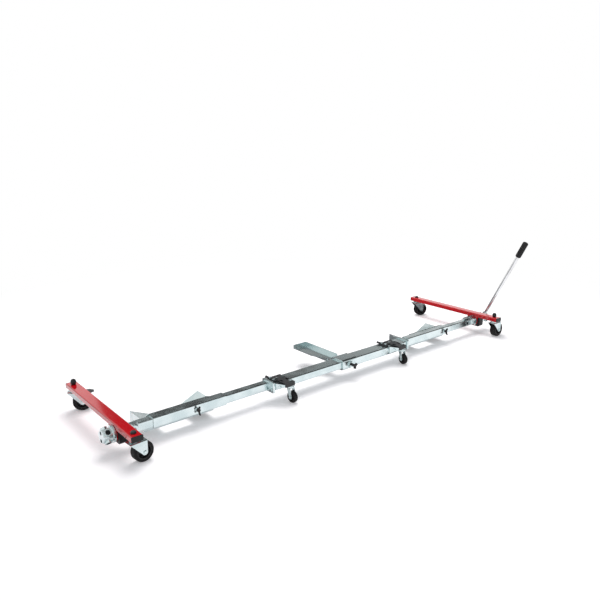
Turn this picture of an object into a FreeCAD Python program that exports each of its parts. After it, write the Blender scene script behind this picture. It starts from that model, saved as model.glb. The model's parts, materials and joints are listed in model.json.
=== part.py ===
import FreeCAD, Part
import math
import os
from collections import namedtuple

V = FreeCAD.Vector

# Clearances, and how far a cutting shape runs past a face
cut_overrun = 2.0
running_gap = 0.3
shaft_gap = 0.05
sliding_gap = 0.5
seat_gap = 0.1

# Layout: X runs along the rail from mid-length, Y from the rail's axis, Z from the floor
beam_spacing = 2430.0
rear_joint_share = 0.1926
front_joint_share = 0.2016
rear_cradle_share = 0.3819
rail_axis_height = 82.0
castor_height = 104.0

# End beams, square-cornered tubes that lie across the rail
beam_length = 685.0
beam_near_reach = 166.0
beam_width = 50.0
beam_height = 25.0
beam_wall = 3.0
beam_corner = 5.0
castor_inset = 30.0
cap_flange = 4.0
cap_plug = 14.0
cap_corner = 3.0

# Bearing under each beam: two welded cheeks with a block between them
cheek_thickness = 5.0
cheek_near = 30.0
cheek_far = 44.0
cheek_foot_height = 50.0
cheek_chamfer = 16.0
cheek_hole_gap = 1.5
bearing_near = 44.0
bearing_far = 36.0
bearing_foot_height = 46.0
bearing_chamfer = 8.0

# Shaft at each end of the rail, with its index collar and the front one's index pin
shaft_radius = 12.5
shaft_plug_length = 25.0
index_collar_radius = 25.0
index_collar_length = 44.0
index_socket_radius = 21.0
index_socket_reach = 31.0
index_bore_radius = 12.0
index_bore_floor = 15.0
index_pin_radius = 8.0
index_pin_length = 103.0
beam_side_gap = 2.0

# Lever hub outside each beam
hub_radius = 28.0
rear_hub_length = 42.0
front_hub_length = 70.0
hub_flange_radius = 36.0
hub_flange_thickness = 8.0
hub_edge = 3.0
hub_shaft_depth = 10.0
rear_socket_station = 21.0
front_socket_station = 50.0
socket_radius = 10.25
socket_floor = 12.0
socket_reach = 34.0
socket_wall = 4.75
socket_count = 4
face_hole_radius = 8.0
face_hole_depth = 9.0
face_hole_circle = 16.5
rear_hub_turn = 45.0
lever_lean = 25.9

# Lever
lever_radius = 10.0
lever_wall = 2.5
lever_reach = 583.0
lever_foot_gap = 1.0
grip_radius = 17.0
grip_length = 104.0
grip_corner = 7.0
grip_end = 12.0

# Rails: the two end rails, and the telescoping pair between them
rail_size = 40.0
rail_wall = 3.0
rail_corner = 5.0
inner_rail_width = 70.0
inner_rail_height = 38.0
inner_rail_near = 45.0
inner_rail_wall = 3.0
inner_rail_end = 230.0
outer_rail_wall = 2.5
outer_rail_start = -20.0
joint_flange_thickness = 6.0
joint_flange_margin = 5.0
joint_bolt_inset = 17.0
joint_bolt_pitch = 28.0
front_flange_reach = 34.0
lock_hole_radius = 9.0
lock_hole_inset = 42.0

# Fasteners
bolt_radius = 4.0
bolt_gap = 0.2
bolt_head_height = 5.5
bolt_head_width = 13.0
bolt_bite_share = 0.8

# Outriggers over the telescoping rails, one for each middle castor
rear_outrigger_step = 80.0
front_outrigger_step = 78.0
outrigger_back = 44.0
outrigger_front = 14.0
outrigger_plate = 5.0
outrigger_drop = 14.0
outrigger_floor = 4.0
outrigger_near = 96.0
outrigger_far = 24.0
outrigger_corner = 4.0
outrigger_bolt_pitch = 36.0
outrigger_slot_width = 12.0
outrigger_slot_length = 26.0
middle_castor_offset = 76.0
middle_stem_rise = 14.0
rear_strap_offset = 60.0
front_strap_offset = 78.0
strap_width = 14.0
strap_thickness = 9.0
strap_end_gap = 6.0
strap_pitch = 28.0
strap_handle_length = 20.0
strap_handle_radius = 6.0
gusset_thickness = 3.0
gusset_foot_height = 66.0
gusset_back = 70.0
gusset_near = 92.0
gusset_toe = 12.0
gusset_bolt_drop = 13.0

# Castors
fork_plate = 4.0
fork_cup_height = 2.5
fork_cup_radius = 17.0
fork_corner = 6.0
kingpin_radius = 6.0
kingpin_nut_height = 4.0
kingpin_nut_width = 17.0
race_radius = 20.0
race_skirt = 3.0
race_neck_radius = 13.0
stem_nut_width = 24.0
stem_nut_height = 9.0
stem_nut_crown = 3.0
stem_nut_chamfer = 4.0
end_wheel_radius = 43.5
end_wheel_width = 38.0
end_tyre_depth = 11.0
end_trail = 32.0
end_top_back = 36.0
end_top_front = 51.0
end_top_height = 94.0
end_foot_radius = 12.0
middle_wheel_radius = 29.0
middle_wheel_width = 22.0
middle_trail = 14.0
middle_top_back = 17.0
middle_top_front = 18.0
middle_top_height = 76.0
middle_foot_radius = 9.0
leg_thickness = 2.5
wheel_side_gap = 1.5
axle_radius = 4.0
axle_head_height = 4.0
axle_head_width = 13.0
wheel_boss_radius = 9.0
wheel_web = 8.0
core_rim = 5.0
solid_rim = 11.0
wheel_rim_inset = 1.5
tread_round = 6.0
near_rear_turn = 5.0
far_rear_turn = -20.0
near_front_turn = 0.0
far_front_turn = -20.0
rear_middle_turn = -85.0
front_middle_turn = -98.0

# Brake pedal on the far rear castor
pedal_thickness = 2.5
pedal_cheek_radius = 9.0
pedal_rise = 43.0
pedal_start = 53.5
pedal_knee = 66.0
pedal_tip = 86.0
pedal_tip_half = 11.5
pedal_corner = 5.0
pedal_rib = 2.0
pedal_rib_count = 3

# Knobs that hold two of the castor stems
knob_radius = 12.5
knob_height = 26.0
knob_skirt = 6.0
knob_foot_radius = 9.5

# Wheel cradles that slide on the end rails
front_cradle_gap = 32.0
sleeve_outward = 148.0
sleeve_inward = 212.0
sleeve_wall = 3.0
prong_inner = 70.0
prong_outer = 170.0
prong_reach = 160.0
prong_low = 34.0
prong_high = 79.0
prong_foot = 32.0
prong_thickness = 4.0
hanger_thickness = 4.0
hanger_foot = 30.0
hanger_corner = 30.0
cradle_boss_radius = 9.0
cradle_boss_height = 4.0

# Wing screws that lock the cradles
rear_wing_offset = 61.0
front_wing_offset = 123.0
wing_stud_radius = 4.0
wing_core_radius = 8.0
wing_core_length = 13.0
wing_span = 42.0
wing_thickness = 5.0
wing_rise = 9.0
wing_root = 14.0
wing_tip = 11.0

# Collar and star knob that lock the telescoping rails
collar_length = 100.0
collar_wall = 5.0
collar_boss_radius = 17.0
collar_boss_height = 8.0
star_station = 57.0
star_drop = 3.0
star_radius = 16.0
star_length = 12.0
star_arms = 3
star_scallop_radius = 12.0
star_scallop_circle = 18.5
star_neck_radius = 7.5
star_neck_length = 16.0
star_stud_radius = 5.0

# Arm and sliding plate for the prop stand
arm_station = 24.0
arm_width = 40.0
arm_height = 22.0
arm_wall = 2.5
arm_corner = 3.0
arm_reach = 240.0
arm_drop = 14.0
plate_thickness = 4.0
plate_near = 40.0
plate_far = 300.0
plate_near_half = 24.0
plate_far_half = 66.0
plate_lip = 22.0
plate_lip_thickness = 3.0
saddle_near = 70.0
saddle_far = 150.0
saddle_depth = 16.0
saddle_wall = 3.0

# Shares that shape small details
inner_corner_share = 0.3
parallel_share = 0.99

# Sizes worked out from the ones above
beam_bottom = castor_height
beam_top = beam_bottom + beam_height
beam_far_reach = beam_length - beam_near_reach
near_castor = castor_inset - beam_near_reach
far_castor = beam_far_reach - castor_inset
lean = math.radians(lever_lean)
flange_start = beam_spacing / 2 - beam_width / 2 - beam_side_gap
rail_start = flange_start - index_collar_length
hub_start = beam_spacing / 2 + beam_width / 2 + beam_side_gap
hub_face = hub_start + hub_flange_thickness
rear_joint = -beam_spacing * rear_joint_share
front_joint = beam_spacing * front_joint_share
rear_outrigger = rear_joint + rear_outrigger_step
front_outrigger = front_joint - front_outrigger_step
rear_cradle_centre = -beam_spacing * rear_cradle_share
front_cradle_centre = front_joint + joint_flange_thickness + front_cradle_gap + sleeve_inward
sleeve_half = rail_size / 2 + sliding_gap + sleeve_wall
inner_rail_far = inner_rail_width - inner_rail_near
outer_step = sliding_gap + outer_rail_wall
outer_rail_near = inner_rail_near + outer_step
outer_rail_far = inner_rail_far + outer_step
outer_rail_height = inner_rail_height + 2 * outer_step
inner_rail_top = rail_axis_height + inner_rail_height / 2
outer_rail_top = rail_axis_height + outer_rail_height / 2
collar_far = outer_rail_far + seat_gap + collar_wall
arm_top = outer_rail_top - arm_drop
rear_flange_far = outer_rail_far + joint_flange_margin
front_flange_far = rear_flange_far + front_flange_reach
flat_stem_end = beam_top + stem_nut_height - stem_nut_crown

# The origin lies on the floor under the middle of the dolly's box
origin_x = (front_hub_length - rear_hub_length) / 2
grip_flat = grip_radius - grip_corner
nearest = -(lever_reach - grip_corner) * math.sin(lean) - grip_flat * math.cos(lean) - grip_corner
furthest = beam_far_reach + cap_flange
origin_y = (nearest + furthest) / 2


def block(x, y, z):
    """A box between the low and high values given for each axis."""
    return Part.makeBox(x[1] - x[0], y[1] - y[0], z[1] - z[0], V(x[0], y[0], z[0]))


def around(middle, size):
    """Low and high values of a span about its middle."""
    return (middle - size / 2, middle + size / 2)


def rod(radius, start, end):
    """A round bar from one point to another."""
    run = end - start
    return Part.makeCylinder(radius, run.Length, start, run)


def prism(points, run):
    """A flat outline pushed along a run."""
    return Part.Face(Part.makePolygon(points + points[:1])).extrude(run)


def lathe(profile, centre, axis):
    """A profile of radius and distance along the axis, turned about that axis."""
    side = V(0, 0, 1) if abs(axis.z) < parallel_share else V(1, 0, 0)
    points = [centre + side * radius + axis * along for radius, along in profile]
    return Part.Face(Part.makePolygon(points + points[:1])).revolve(centre, axis, 360)


def hexagon(width, start, end):
    """A hexagon bar, measured across its flats, from one point to another."""
    run = end - start
    lead = V(1, 0, 0) if abs(run.x) < run.Length * parallel_share else V(0, 1, 0)
    square = run.cross(lead).normalize()
    across = square.cross(run).normalize()
    ring = [math.radians(60 * step) for step in range(6)]
    radius = width / math.sqrt(3)
    corners = [start + (across * math.cos(turn) + square * math.sin(turn)) * radius for turn in ring]
    return prism(corners, run)


def long_edges(shape, axis):
    """The straight edges that run along an axis."""
    straight = [edge for edge in shape.Edges if isinstance(edge.Curve, Part.Line)]
    return [edge for edge in straight if abs(edge.Curve.Direction.dot(axis)) > parallel_share]


def bar(x, y, z, axis, corner):
    """A box whose edges along one axis are rounded."""
    shape = block(x, y, z)
    return shape.makeFillet(corner, long_edges(shape, axis))


def tube(x, y, z, axis, wall, corner):
    """A rectangular tube that is open at both ends of its axis."""
    spans = []
    for span, part in zip((x, y, z), axis):
        step = -cut_overrun if abs(part) > parallel_share else wall
        spans.append((span[0] + step, span[1] - step))
    inner_corner = max(corner - wall, wall * inner_corner_share)
    return bar(x, y, z, axis, corner).cut(bar(*spans, axis, inner_corner))


def fused(shapes):
    """One solid from shapes that meet."""
    return shapes[0].fuse(shapes[1:]).removeSplitter()


def bolt(top, direction, length):
    """A hexagon bolt whose head sits on a face, with its shank going down into it."""
    head = hexagon(bolt_head_width, top, top + direction * bolt_head_height)
    return fused([head, rod(bolt_radius, top - direction * length, top)])


ALONG = V(1, 0, 0)
ACROSS = V(0, 1, 0)
UP = V(0, 0, 1)


def chamfered_plate(near, far, foot, chamfer):
    """The outline of a plate that hangs from a beam, with its two lower corners cut off."""
    return [
        V(0, -near, beam_bottom), V(0, far, beam_bottom),
        V(0, far, foot + chamfer), V(0, far - chamfer, foot),
        V(0, chamfer - near, foot), V(0, -near, foot + chamfer),
    ]


def stem_places():
    """Where the two castor stems of a beam stand across the dolly."""
    return (near_castor, far_castor)


def beam(side):
    """An end beam: a painted tube with the two bearing cheeks welded below it."""
    middle = side * beam_spacing / 2
    reach = (-beam_near_reach, beam_far_reach)
    shape = tube(around(middle, beam_width), reach, (beam_bottom, beam_top), ACROSS, beam_wall, beam_corner)
    outline = chamfered_plate(cheek_near, cheek_far, cheek_foot_height, cheek_chamfer)
    cheek = prism(outline, ALONG * cheek_thickness)
    low = cheek.translated(ALONG * (middle - beam_width / 2))
    high = cheek.translated(ALONG * (middle + beam_width / 2 - cheek_thickness))
    shape = fused([shape, low, high])
    axis = V(middle, 0, rail_axis_height)
    half = ALONG * (beam_width / 2 + cut_overrun)
    shape = shape.cut(rod(shaft_radius + cheek_hole_gap, axis - half, axis + half))
    for place in stem_places():
        low_end = V(middle, place, beam_bottom - cut_overrun)
        shape = shape.cut(rod(kingpin_radius + bolt_gap, low_end, V(middle, place, beam_top + cut_overrun)))
    return shape


def end_caps(side):
    """The two plastic caps that plug a beam's ends."""
    middle = side * beam_spacing / 2
    caps = []
    for face, out in ((-beam_near_reach, -1), (beam_far_reach, 1)):
        flange_span = sorted((face, face + out * cap_flange))
        flange = block(around(middle, beam_width), flange_span, (beam_bottom, beam_top))
        flange = flange.makeFillet(cap_corner, long_edges(flange, ACROSS))
        inside = beam_wall + seat_gap
        plug_span = sorted((face - out * cap_plug, face))
        plug_rise = (beam_bottom + inside, beam_top - inside)
        plug = block(around(middle, beam_width - 2 * inside), plug_span, plug_rise)
        plug = plug.makeFillet(cap_corner, long_edges(plug, ACROSS))
        caps.append(fused([flange, plug]))
    return Part.makeCompound(caps)


def bearing_block(side):
    """The block between a beam's cheeks that the rail's shaft turns in."""
    middle = side * beam_spacing / 2
    outline = chamfered_plate(bearing_near, bearing_far, bearing_foot_height, bearing_chamfer)
    width = beam_width - 2 * cheek_thickness
    shape = prism(outline, ALONG * width).translated(ALONG * (middle - width / 2))
    axis = V(middle, 0, rail_axis_height)
    half = ALONG * beam_width
    return shape.cut(rod(shaft_radius + shaft_gap, axis - half, axis + half))


def shaft(side):
    """A rail's end shaft: a square plug, a collar with its socket, and the round shaft."""
    out = ALONG * side
    centre = UP * rail_axis_height
    inside = rail_size - 2 * (rail_wall + seat_gap)
    plug_span = sorted((side * (rail_start - shaft_plug_length), side * rail_start))
    plug = bar(plug_span, around(0, inside), around(rail_axis_height, inside), ALONG, rail_wall)
    start = centre + out * rail_start
    end = centre + out * flange_start
    middle = (start + end) / 2
    shapes = [plug, rod(index_collar_radius, start, end)]
    shapes.append(rod(index_socket_radius, middle, middle - ACROSS * index_socket_reach))
    shapes.append(rod(shaft_radius, start, centre + out * (hub_face + hub_shaft_depth)))
    if side > 0:
        pin_end = end + UP * (rail_size / 2 + seat_gap + index_pin_radius)
        shapes.append(rod(index_pin_radius, pin_end - out * index_pin_length, pin_end))
    mouth = middle - ACROSS * (index_socket_reach + cut_overrun)
    return fused(shapes).cut(rod(index_bore_radius, middle - ACROSS * index_bore_floor, mouth))


def hub(side, length, socket_station, hub_turn):
    """A lever hub: a flanged core with four lever sockets round it and two holes in its end."""
    out = ALONG * side
    centre = UP * rail_axis_height
    flange_in = centre + out * hub_start
    face = centre + out * hub_face
    end = face + out * length
    profile = [
        (0, 0), (hub_flange_radius, 0), (hub_flange_radius, hub_flange_thickness),
        (hub_radius, hub_flange_thickness), (hub_radius, hub_flange_thickness + length - hub_edge),
        (hub_radius - hub_edge, hub_flange_thickness + length), (0, hub_flange_thickness + length),
    ]
    shapes = [lathe(profile, flange_in, out)]
    turns = [math.radians(hub_turn + 360 * step / socket_count) for step in range(socket_count)]
    rays = [UP * math.cos(turn) - ACROSS * math.sin(turn) for turn in turns]
    station = face + out * socket_station
    for ray in rays:
        shapes.append(rod(socket_radius + socket_wall, station, station + ray * socket_reach))
    shape = fused(shapes)
    for ray in rays:
        mouth = station + ray * (socket_reach + cut_overrun)
        shape = shape.cut(rod(socket_radius, station + ray * socket_floor, mouth))
    for way in (-1, 1):
        hole = end + UP * way * face_hole_circle
        shape = shape.cut(rod(face_hole_radius, hole - out * face_hole_depth, hole + out * cut_overrun))
    depth = face + out * (hub_shaft_depth + seat_gap)
    return shape.cut(rod(shaft_radius + shaft_gap, flange_in - out * cut_overrun, depth))


def lever_line():
    """A point on the lever's line, at the rail's axis, and the line's direction."""
    start = V(hub_face + front_socket_station, 0, rail_axis_height)
    return start, UP * math.cos(lean) - ACROSS * math.sin(lean)


def lever_tube():
    """The plated tube that fits a hub's socket."""
    start, ray = lever_line()
    foot = start + ray * (socket_floor + lever_foot_gap)
    end = start + ray * (lever_reach - grip_end)
    bore = rod(lever_radius - lever_wall, foot - ray * cut_overrun, end - ray * lever_wall)
    return rod(lever_radius, foot, end).cut(bore)


def lever_grip():
    """The rubber grip pushed over the lever's top end, rounded at both ends."""
    start, ray = lever_line()
    low = start + ray * (lever_reach - grip_length)
    shape = rod(grip_radius, low, start + ray * lever_reach)
    rims = [edge for edge in shape.Edges if isinstance(edge.Curve, Part.Circle)]
    shape = shape.makeFillet(grip_corner, rims)
    depth = start + ray * (lever_reach - grip_end + seat_gap)
    return shape.cut(rod(lever_radius + shaft_gap, low - ray * cut_overrun, depth))


def end_rail(side, joint, far):
    """An end rail: a square tube that butts on its flange where it meets the telescoping pair."""
    face = joint + side * joint_flange_thickness
    span = sorted((side * rail_start, face))
    rise = around(rail_axis_height, rail_size)
    rail = tube(span, around(0, rail_size), rise, ALONG, rail_wall, rail_corner)
    if side > 0:
        place = V(rail_start - lock_hole_inset, 0, rail_axis_height)
        rail = rail.cut(rod(lock_hole_radius, place - ACROSS * rail_size, place))
    return Part.makeCompound([rail, joint_flange(sorted((joint, face)), far)])


def joint_bolt_places():
    """Where the joint bolts stand on the flanges, on the side that the end rail leaves clear."""
    y = joint_bolt_inset - outer_rail_near - joint_flange_margin
    half = joint_bolt_pitch / 2
    return [(y, rail_axis_height - half), (y, rail_axis_height + half)]


def joint_flange(span, far):
    """A flange plate across the rail, with its bolt holes."""
    margin = joint_flange_margin
    rise = around(rail_axis_height, outer_rail_height + 2 * margin)
    shape = bar(span, (-outer_rail_near - margin, far), rise, ALONG, margin)
    for y, z in joint_bolt_places():
        ends = [V(span[0] - cut_overrun, y, z), V(span[1] + cut_overrun, y, z)]
        shape = shape.cut(rod(bolt_radius + bolt_gap, *ends))
    return shape


Bracket = namedtuple("Bracket", "station strap top near")
rear_strap = rear_outrigger - rear_strap_offset
front_strap = front_outrigger - front_strap_offset
rear_bracket = Bracket(rear_outrigger, rear_strap, inner_rail_top, inner_rail_near)
front_bracket = Bracket(front_outrigger, front_strap, outer_rail_top, outer_rail_near)


def top_bolt_places(bracket):
    """Where bolts go down into a telescoping rail's top, for an outrigger and its strap."""
    half_pitch = outrigger_bolt_pitch / 2
    plate = bracket.station + (outrigger_front - outrigger_back) / 2
    middle = (inner_rail_far - inner_rail_near) / 2
    places = [(plate + step, middle) for step in (-half_pitch, half_pitch)]
    half_strap = strap_pitch / 2
    return places + [(bracket.strap, middle + step) for step in (-half_strap, half_strap)]


def drilled_top(shape, bracket):
    """A rail with the holes of its outrigger's bolts in its top wall."""
    for x, y in top_bolt_places(bracket):
        low = V(x, y, rail_axis_height)
        shape = shape.cut(rod(bolt_radius + bolt_gap, low, V(x, y, bracket.top + cut_overrun)))
    return shape


def inner_rail():
    """The inner telescoping rail, closed by its joint flange."""
    across = (-inner_rail_near, inner_rail_far)
    rise = around(rail_axis_height, inner_rail_height)
    flange_end = rear_joint + joint_flange_thickness
    rail = tube((flange_end, inner_rail_end), across, rise, ALONG, inner_rail_wall, rail_corner)
    flange = joint_flange((rear_joint, flange_end), rear_flange_far)
    return Part.makeCompound([drilled_top(rail, rear_bracket), flange])


def outer_rail():
    """The outer telescoping rail, closed by its joint flange, with the hole for the collar's knob."""
    across = (-outer_rail_near, outer_rail_far)
    rise = around(rail_axis_height, outer_rail_height)
    flange_face = front_joint - joint_flange_thickness
    rail = tube((outer_rail_start, flange_face), across, rise, ALONG, outer_rail_wall, rail_corner)
    flange = joint_flange((flange_face, front_joint), front_flange_far)
    x, z = star_place()
    hole = rod(star_stud_radius + shaft_gap, V(x, -outer_rail_near - cut_overrun, z), V(x, 0, z))
    return Part.makeCompound([drilled_top(rail.cut(hole), front_bracket), flange])


def outrigger(bracket):
    """An outrigger over a rail's top, boxed beside the rail, with its strap and the strap's handle."""
    top = bracket.top
    span = (bracket.station - outrigger_back, bracket.station + outrigger_front)
    box_end = -bracket.near - running_gap
    rise = (top - outrigger_drop, top + outrigger_plate)
    shape = fused([
        block(span, (-outrigger_near, outrigger_far), (top, top + outrigger_plate)),
        block(span, (-outrigger_near, box_end), rise),
    ])
    near = [edge for edge in long_edges(shape, UP) if edge.CenterOfMass.y < box_end - outrigger_plate]
    shape = shape.makeFillet(outrigger_corner, near)
    inside = (span[0] + outrigger_plate, span[1] - outrigger_plate)
    depth = (outrigger_plate - outrigger_near, box_end + cut_overrun)
    shape = shape.cut(block(inside, depth, (rise[0] + outrigger_floor, top)))
    stem = V(bracket.station, -middle_castor_offset, rise[0] - cut_overrun)
    shape = shape.cut(rod(kingpin_radius + bolt_gap, stem, stem + UP * outrigger_near))
    for x, y in top_bolt_places(bracket)[:2]:
        slot = around(x, outrigger_slot_width)
        slot_end = -outer_rail_near + outrigger_slot_length / 2
        gap = block(slot, (slot_end - outrigger_slot_length, slot_end), (top, top + outrigger_near))
        shape = shape.cut(gap.makeFillet(outrigger_slot_width / 2 - seat_gap, long_edges(gap, UP)))
    strap_across = (strap_end_gap - inner_rail_near, inner_rail_far - strap_end_gap)
    strap = block(around(bracket.strap, strap_width), strap_across, (top, top + strap_thickness))
    end = V(bracket.strap, strap_across[1], top + strap_handle_radius)
    handle = rod(strap_handle_radius, end - ACROSS * strap_end_gap, end + ACROSS * strap_handle_length)
    strap = fused([strap, handle])
    for x, y in top_bolt_places(bracket):
        hole = rod(bolt_radius + bolt_gap, V(x, y, top - cut_overrun), V(x, y, top + outrigger_near))
        shape = shape.cut(hole)
        strap = strap.cut(hole)
    return Part.makeCompound([shape, strap])


def gusset_line(bracket):
    """The two ends of a gusset in plan, on the rail and on the outrigger, and the way that it faces."""
    start = V(bracket.station - gusset_back, -bracket.near, 0)
    end = V(bracket.station - outrigger_back, -gusset_near, 0)
    return start, end, (end - start).cross(UP).normalize()


def gusset(bracket):
    """A slanting plate that props an outrigger from the rail's near face."""
    start, end, facing = gusset_line(bracket)
    outline = [
        start + UP * gusset_foot_height, start + UP * bracket.top, end + UP * bracket.top,
        end + UP * (bracket.top - gusset_toe),
    ]
    shape = prism(outline, facing * gusset_thickness)
    place = gusset_bolt_place(bracket)
    reach = facing * (gusset_thickness + cut_overrun)
    return shape.cut(rod(bolt_radius + bolt_gap, place - reach, place + reach))


def gusset_bolt_place(bracket):
    """Where the gusset's bolt stands on the side that faces the rail."""
    start, end, facing = gusset_line(bracket)
    return (start + end) / 2 + UP * (bracket.top - gusset_bolt_drop)


def castor_stem(castor, middle, place, top, end):
    """A castor's fixed race and its kingpin, which goes on up as a stem."""
    nut_top = castor.top_height - fork_plate - running_gap
    low = castor.top_height + fork_cup_height + running_gap
    race = [
        (0, low), (race_radius, low), (race_radius, low + race_skirt), (race_neck_radius, low + race_skirt),
        (race_neck_radius, top - race_skirt), (race_radius, top - race_skirt), (race_radius, top), (0, top),
    ]
    base = V(middle, place, 0)
    pin = rod(kingpin_radius, base + UP * (nut_top - kingpin_nut_height), base + UP * end)
    nut = hexagon(kingpin_nut_width, base + UP * (nut_top - kingpin_nut_height), base + UP * nut_top)
    return fused([lathe(race, base, UP), pin, nut])


def stem_nut(middle, place):
    """A closed nut over a castor stem's top end."""
    base = V(middle, place, beam_top)
    radius = stem_nut_width / 2
    profile = [
        (0, 0), (radius, 0), (radius, stem_nut_height - stem_nut_chamfer),
        (radius - stem_nut_chamfer, stem_nut_height), (0, stem_nut_height),
    ]
    depth = V(middle, place, flat_stem_end + seat_gap)
    return lathe(profile, base, UP).cut(rod(kingpin_radius + shaft_gap, base - UP * cut_overrun, depth))


def bracket_fasteners(side, bracket, joint):
    """The bolts of one outrigger and its joint, with the middle castor's stem."""
    out = ALONG * side
    top = bracket.top
    wall = min(inner_rail_wall, outer_rail_wall) * bolt_bite_share
    places = top_bolt_places(bracket)
    solids = [bolt(V(x, y, top + outrigger_plate), UP, outrigger_plate + wall) for x, y in places[:2]]
    solids += [bolt(V(x, y, top + strap_thickness), UP, strap_thickness + wall) for x, y in places[2:]]
    grip = joint_flange_thickness * (1 + bolt_bite_share)
    for y, z in joint_bolt_places():
        solids.append(bolt(V(joint + side * joint_flange_thickness, y, z), out, grip))
    stem_top = top + middle_stem_rise
    stem = castor_stem(middle_castor, bracket.station, -middle_castor_offset, top - outrigger_drop, stem_top)
    nut_base = V(bracket.station, -middle_castor_offset, top + outrigger_plate)
    solids.append(fused([stem, hexagon(kingpin_nut_width, nut_base, nut_base + UP * bolt_head_height)]))
    facing = gusset_line(bracket)[2]
    place = gusset_bolt_place(bracket)
    nut = hexagon(bolt_head_width, place - facing * bolt_head_height, place)
    solids.append(fused([bolt(place + facing * gusset_thickness, facing, gusset_thickness), nut]))
    return Part.makeCompound(solids)


Castor = namedtuple(
    "Castor", "wheel_radius wheel_width trail top_back top_front top_height foot_radius axle_spare")
end_castor = Castor(
    end_wheel_radius, end_wheel_width, end_trail, end_top_back, end_top_front, end_top_height,
    end_foot_radius, 0)
braked_castor = end_castor._replace(axle_spare=pedal_thickness + 2 * running_gap)
middle_castor = Castor(
    middle_wheel_radius, middle_wheel_width, middle_trail, middle_top_back, middle_top_front,
    middle_top_height, middle_foot_radius, 0)


def leg_inside(castor):
    """Half the room between a castor's fork legs."""
    return castor.wheel_width / 2 + wheel_side_gap


def fork(castor):
    """A pressed fork about its swivel axis, trailing along X."""
    inside = leg_inside(castor)
    outside = inside + leg_thickness
    high = castor.top_height
    low = high - fork_plate
    plate = block((-castor.top_back, castor.top_front), (-outside, outside), (low, high))
    plate = plate.makeFillet(fork_corner, long_edges(plate, UP))
    cup_base = UP * low
    shapes = [plate, rod(fork_cup_radius, cup_base, cup_base + UP * (fork_plate + fork_cup_height))]
    axle = V(castor.trail, 0, castor.wheel_radius)
    reach = castor.foot_radius
    for start in (-outside, inside):
        outline = [
            V(-castor.top_back + fork_corner, start, high),
            V(castor.top_front - fork_corner, start, high),
            V(castor.trail + reach, start, castor.wheel_radius),
            V(castor.trail - reach, start, castor.wheel_radius),
        ]
        foot = axle + ACROSS * start
        shapes += [prism(outline, ACROSS * leg_thickness), rod(reach, foot, foot + ACROSS * leg_thickness)]
    shape = fused(shapes)
    half = ACROSS * (outside + cut_overrun)
    shape = shape.cut(rod(axle_radius + shaft_gap, axle - half, axle + half))
    return shape.cut(rod(kingpin_radius + shaft_gap, UP * (low - cut_overrun), UP * (high + castor_height)))


def axle(castor):
    """The bolt and nut that a castor's wheel turns on."""
    outside = leg_inside(castor) + leg_thickness + castor.axle_spare
    centre = V(castor.trail, 0, castor.wheel_radius)
    ends = [centre - ACROSS * outside, centre + ACROSS * outside]
    head = hexagon(axle_head_width, ends[0] - ACROSS * axle_head_height, ends[0])
    nut = hexagon(axle_head_width, ends[1], ends[1] + ACROSS * axle_head_height)
    return fused([rod(axle_radius, *ends), head, nut])


def wheel_profile(castor, outer_radius, rim_depth, rim_half):
    """A webbed wheel's profile, from its bore to its outer radius."""
    bore = axle_radius + shaft_gap
    boss = leg_inside(castor) - running_gap
    web = wheel_web / 2
    rim = outer_radius - rim_depth
    half = [(bore, boss), (wheel_boss_radius, boss), (wheel_boss_radius, web), (rim, web)]
    half += [(rim, rim_half), (outer_radius, rim_half)]
    return [(radius, -along) for radius, along in half] + half[::-1]


def wheel_core(castor):
    """The plastic core of an end castor's wheel."""
    radius = castor.wheel_radius - end_tyre_depth
    centre = V(castor.trail, 0, castor.wheel_radius)
    half = castor.wheel_width / 2 - wheel_rim_inset
    return lathe(wheel_profile(castor, radius, core_rim, half), centre, ACROSS)


def tyre(castor):
    """The rubber tyre round an end castor's core."""
    inside = castor.wheel_radius - end_tyre_depth + shaft_gap
    half = castor.wheel_width / 2
    centre = V(castor.trail, 0, castor.wheel_radius)
    profile = [(inside, -half), (castor.wheel_radius, -half), (castor.wheel_radius, half), (inside, half)]
    return round_tread(lathe(profile, centre, ACROSS), castor.wheel_radius)


def solid_wheel(castor):
    """A middle castor's wheel, moulded in one piece."""
    centre = V(castor.trail, 0, castor.wheel_radius)
    profile = wheel_profile(castor, castor.wheel_radius, solid_rim, castor.wheel_width / 2)
    shape = lathe(profile, centre, ACROSS)
    return round_tread(shape, castor.wheel_radius)


def round_tread(shape, radius):
    """A wheel with the two edges of its tread rounded."""
    rounds = [edge for edge in shape.Edges if isinstance(edge.Curve, Part.Circle)]
    rims = [edge for edge in rounds if edge.Curve.Radius > radius - shaft_gap]
    return shape.makeFillet(tread_round, rims)


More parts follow.
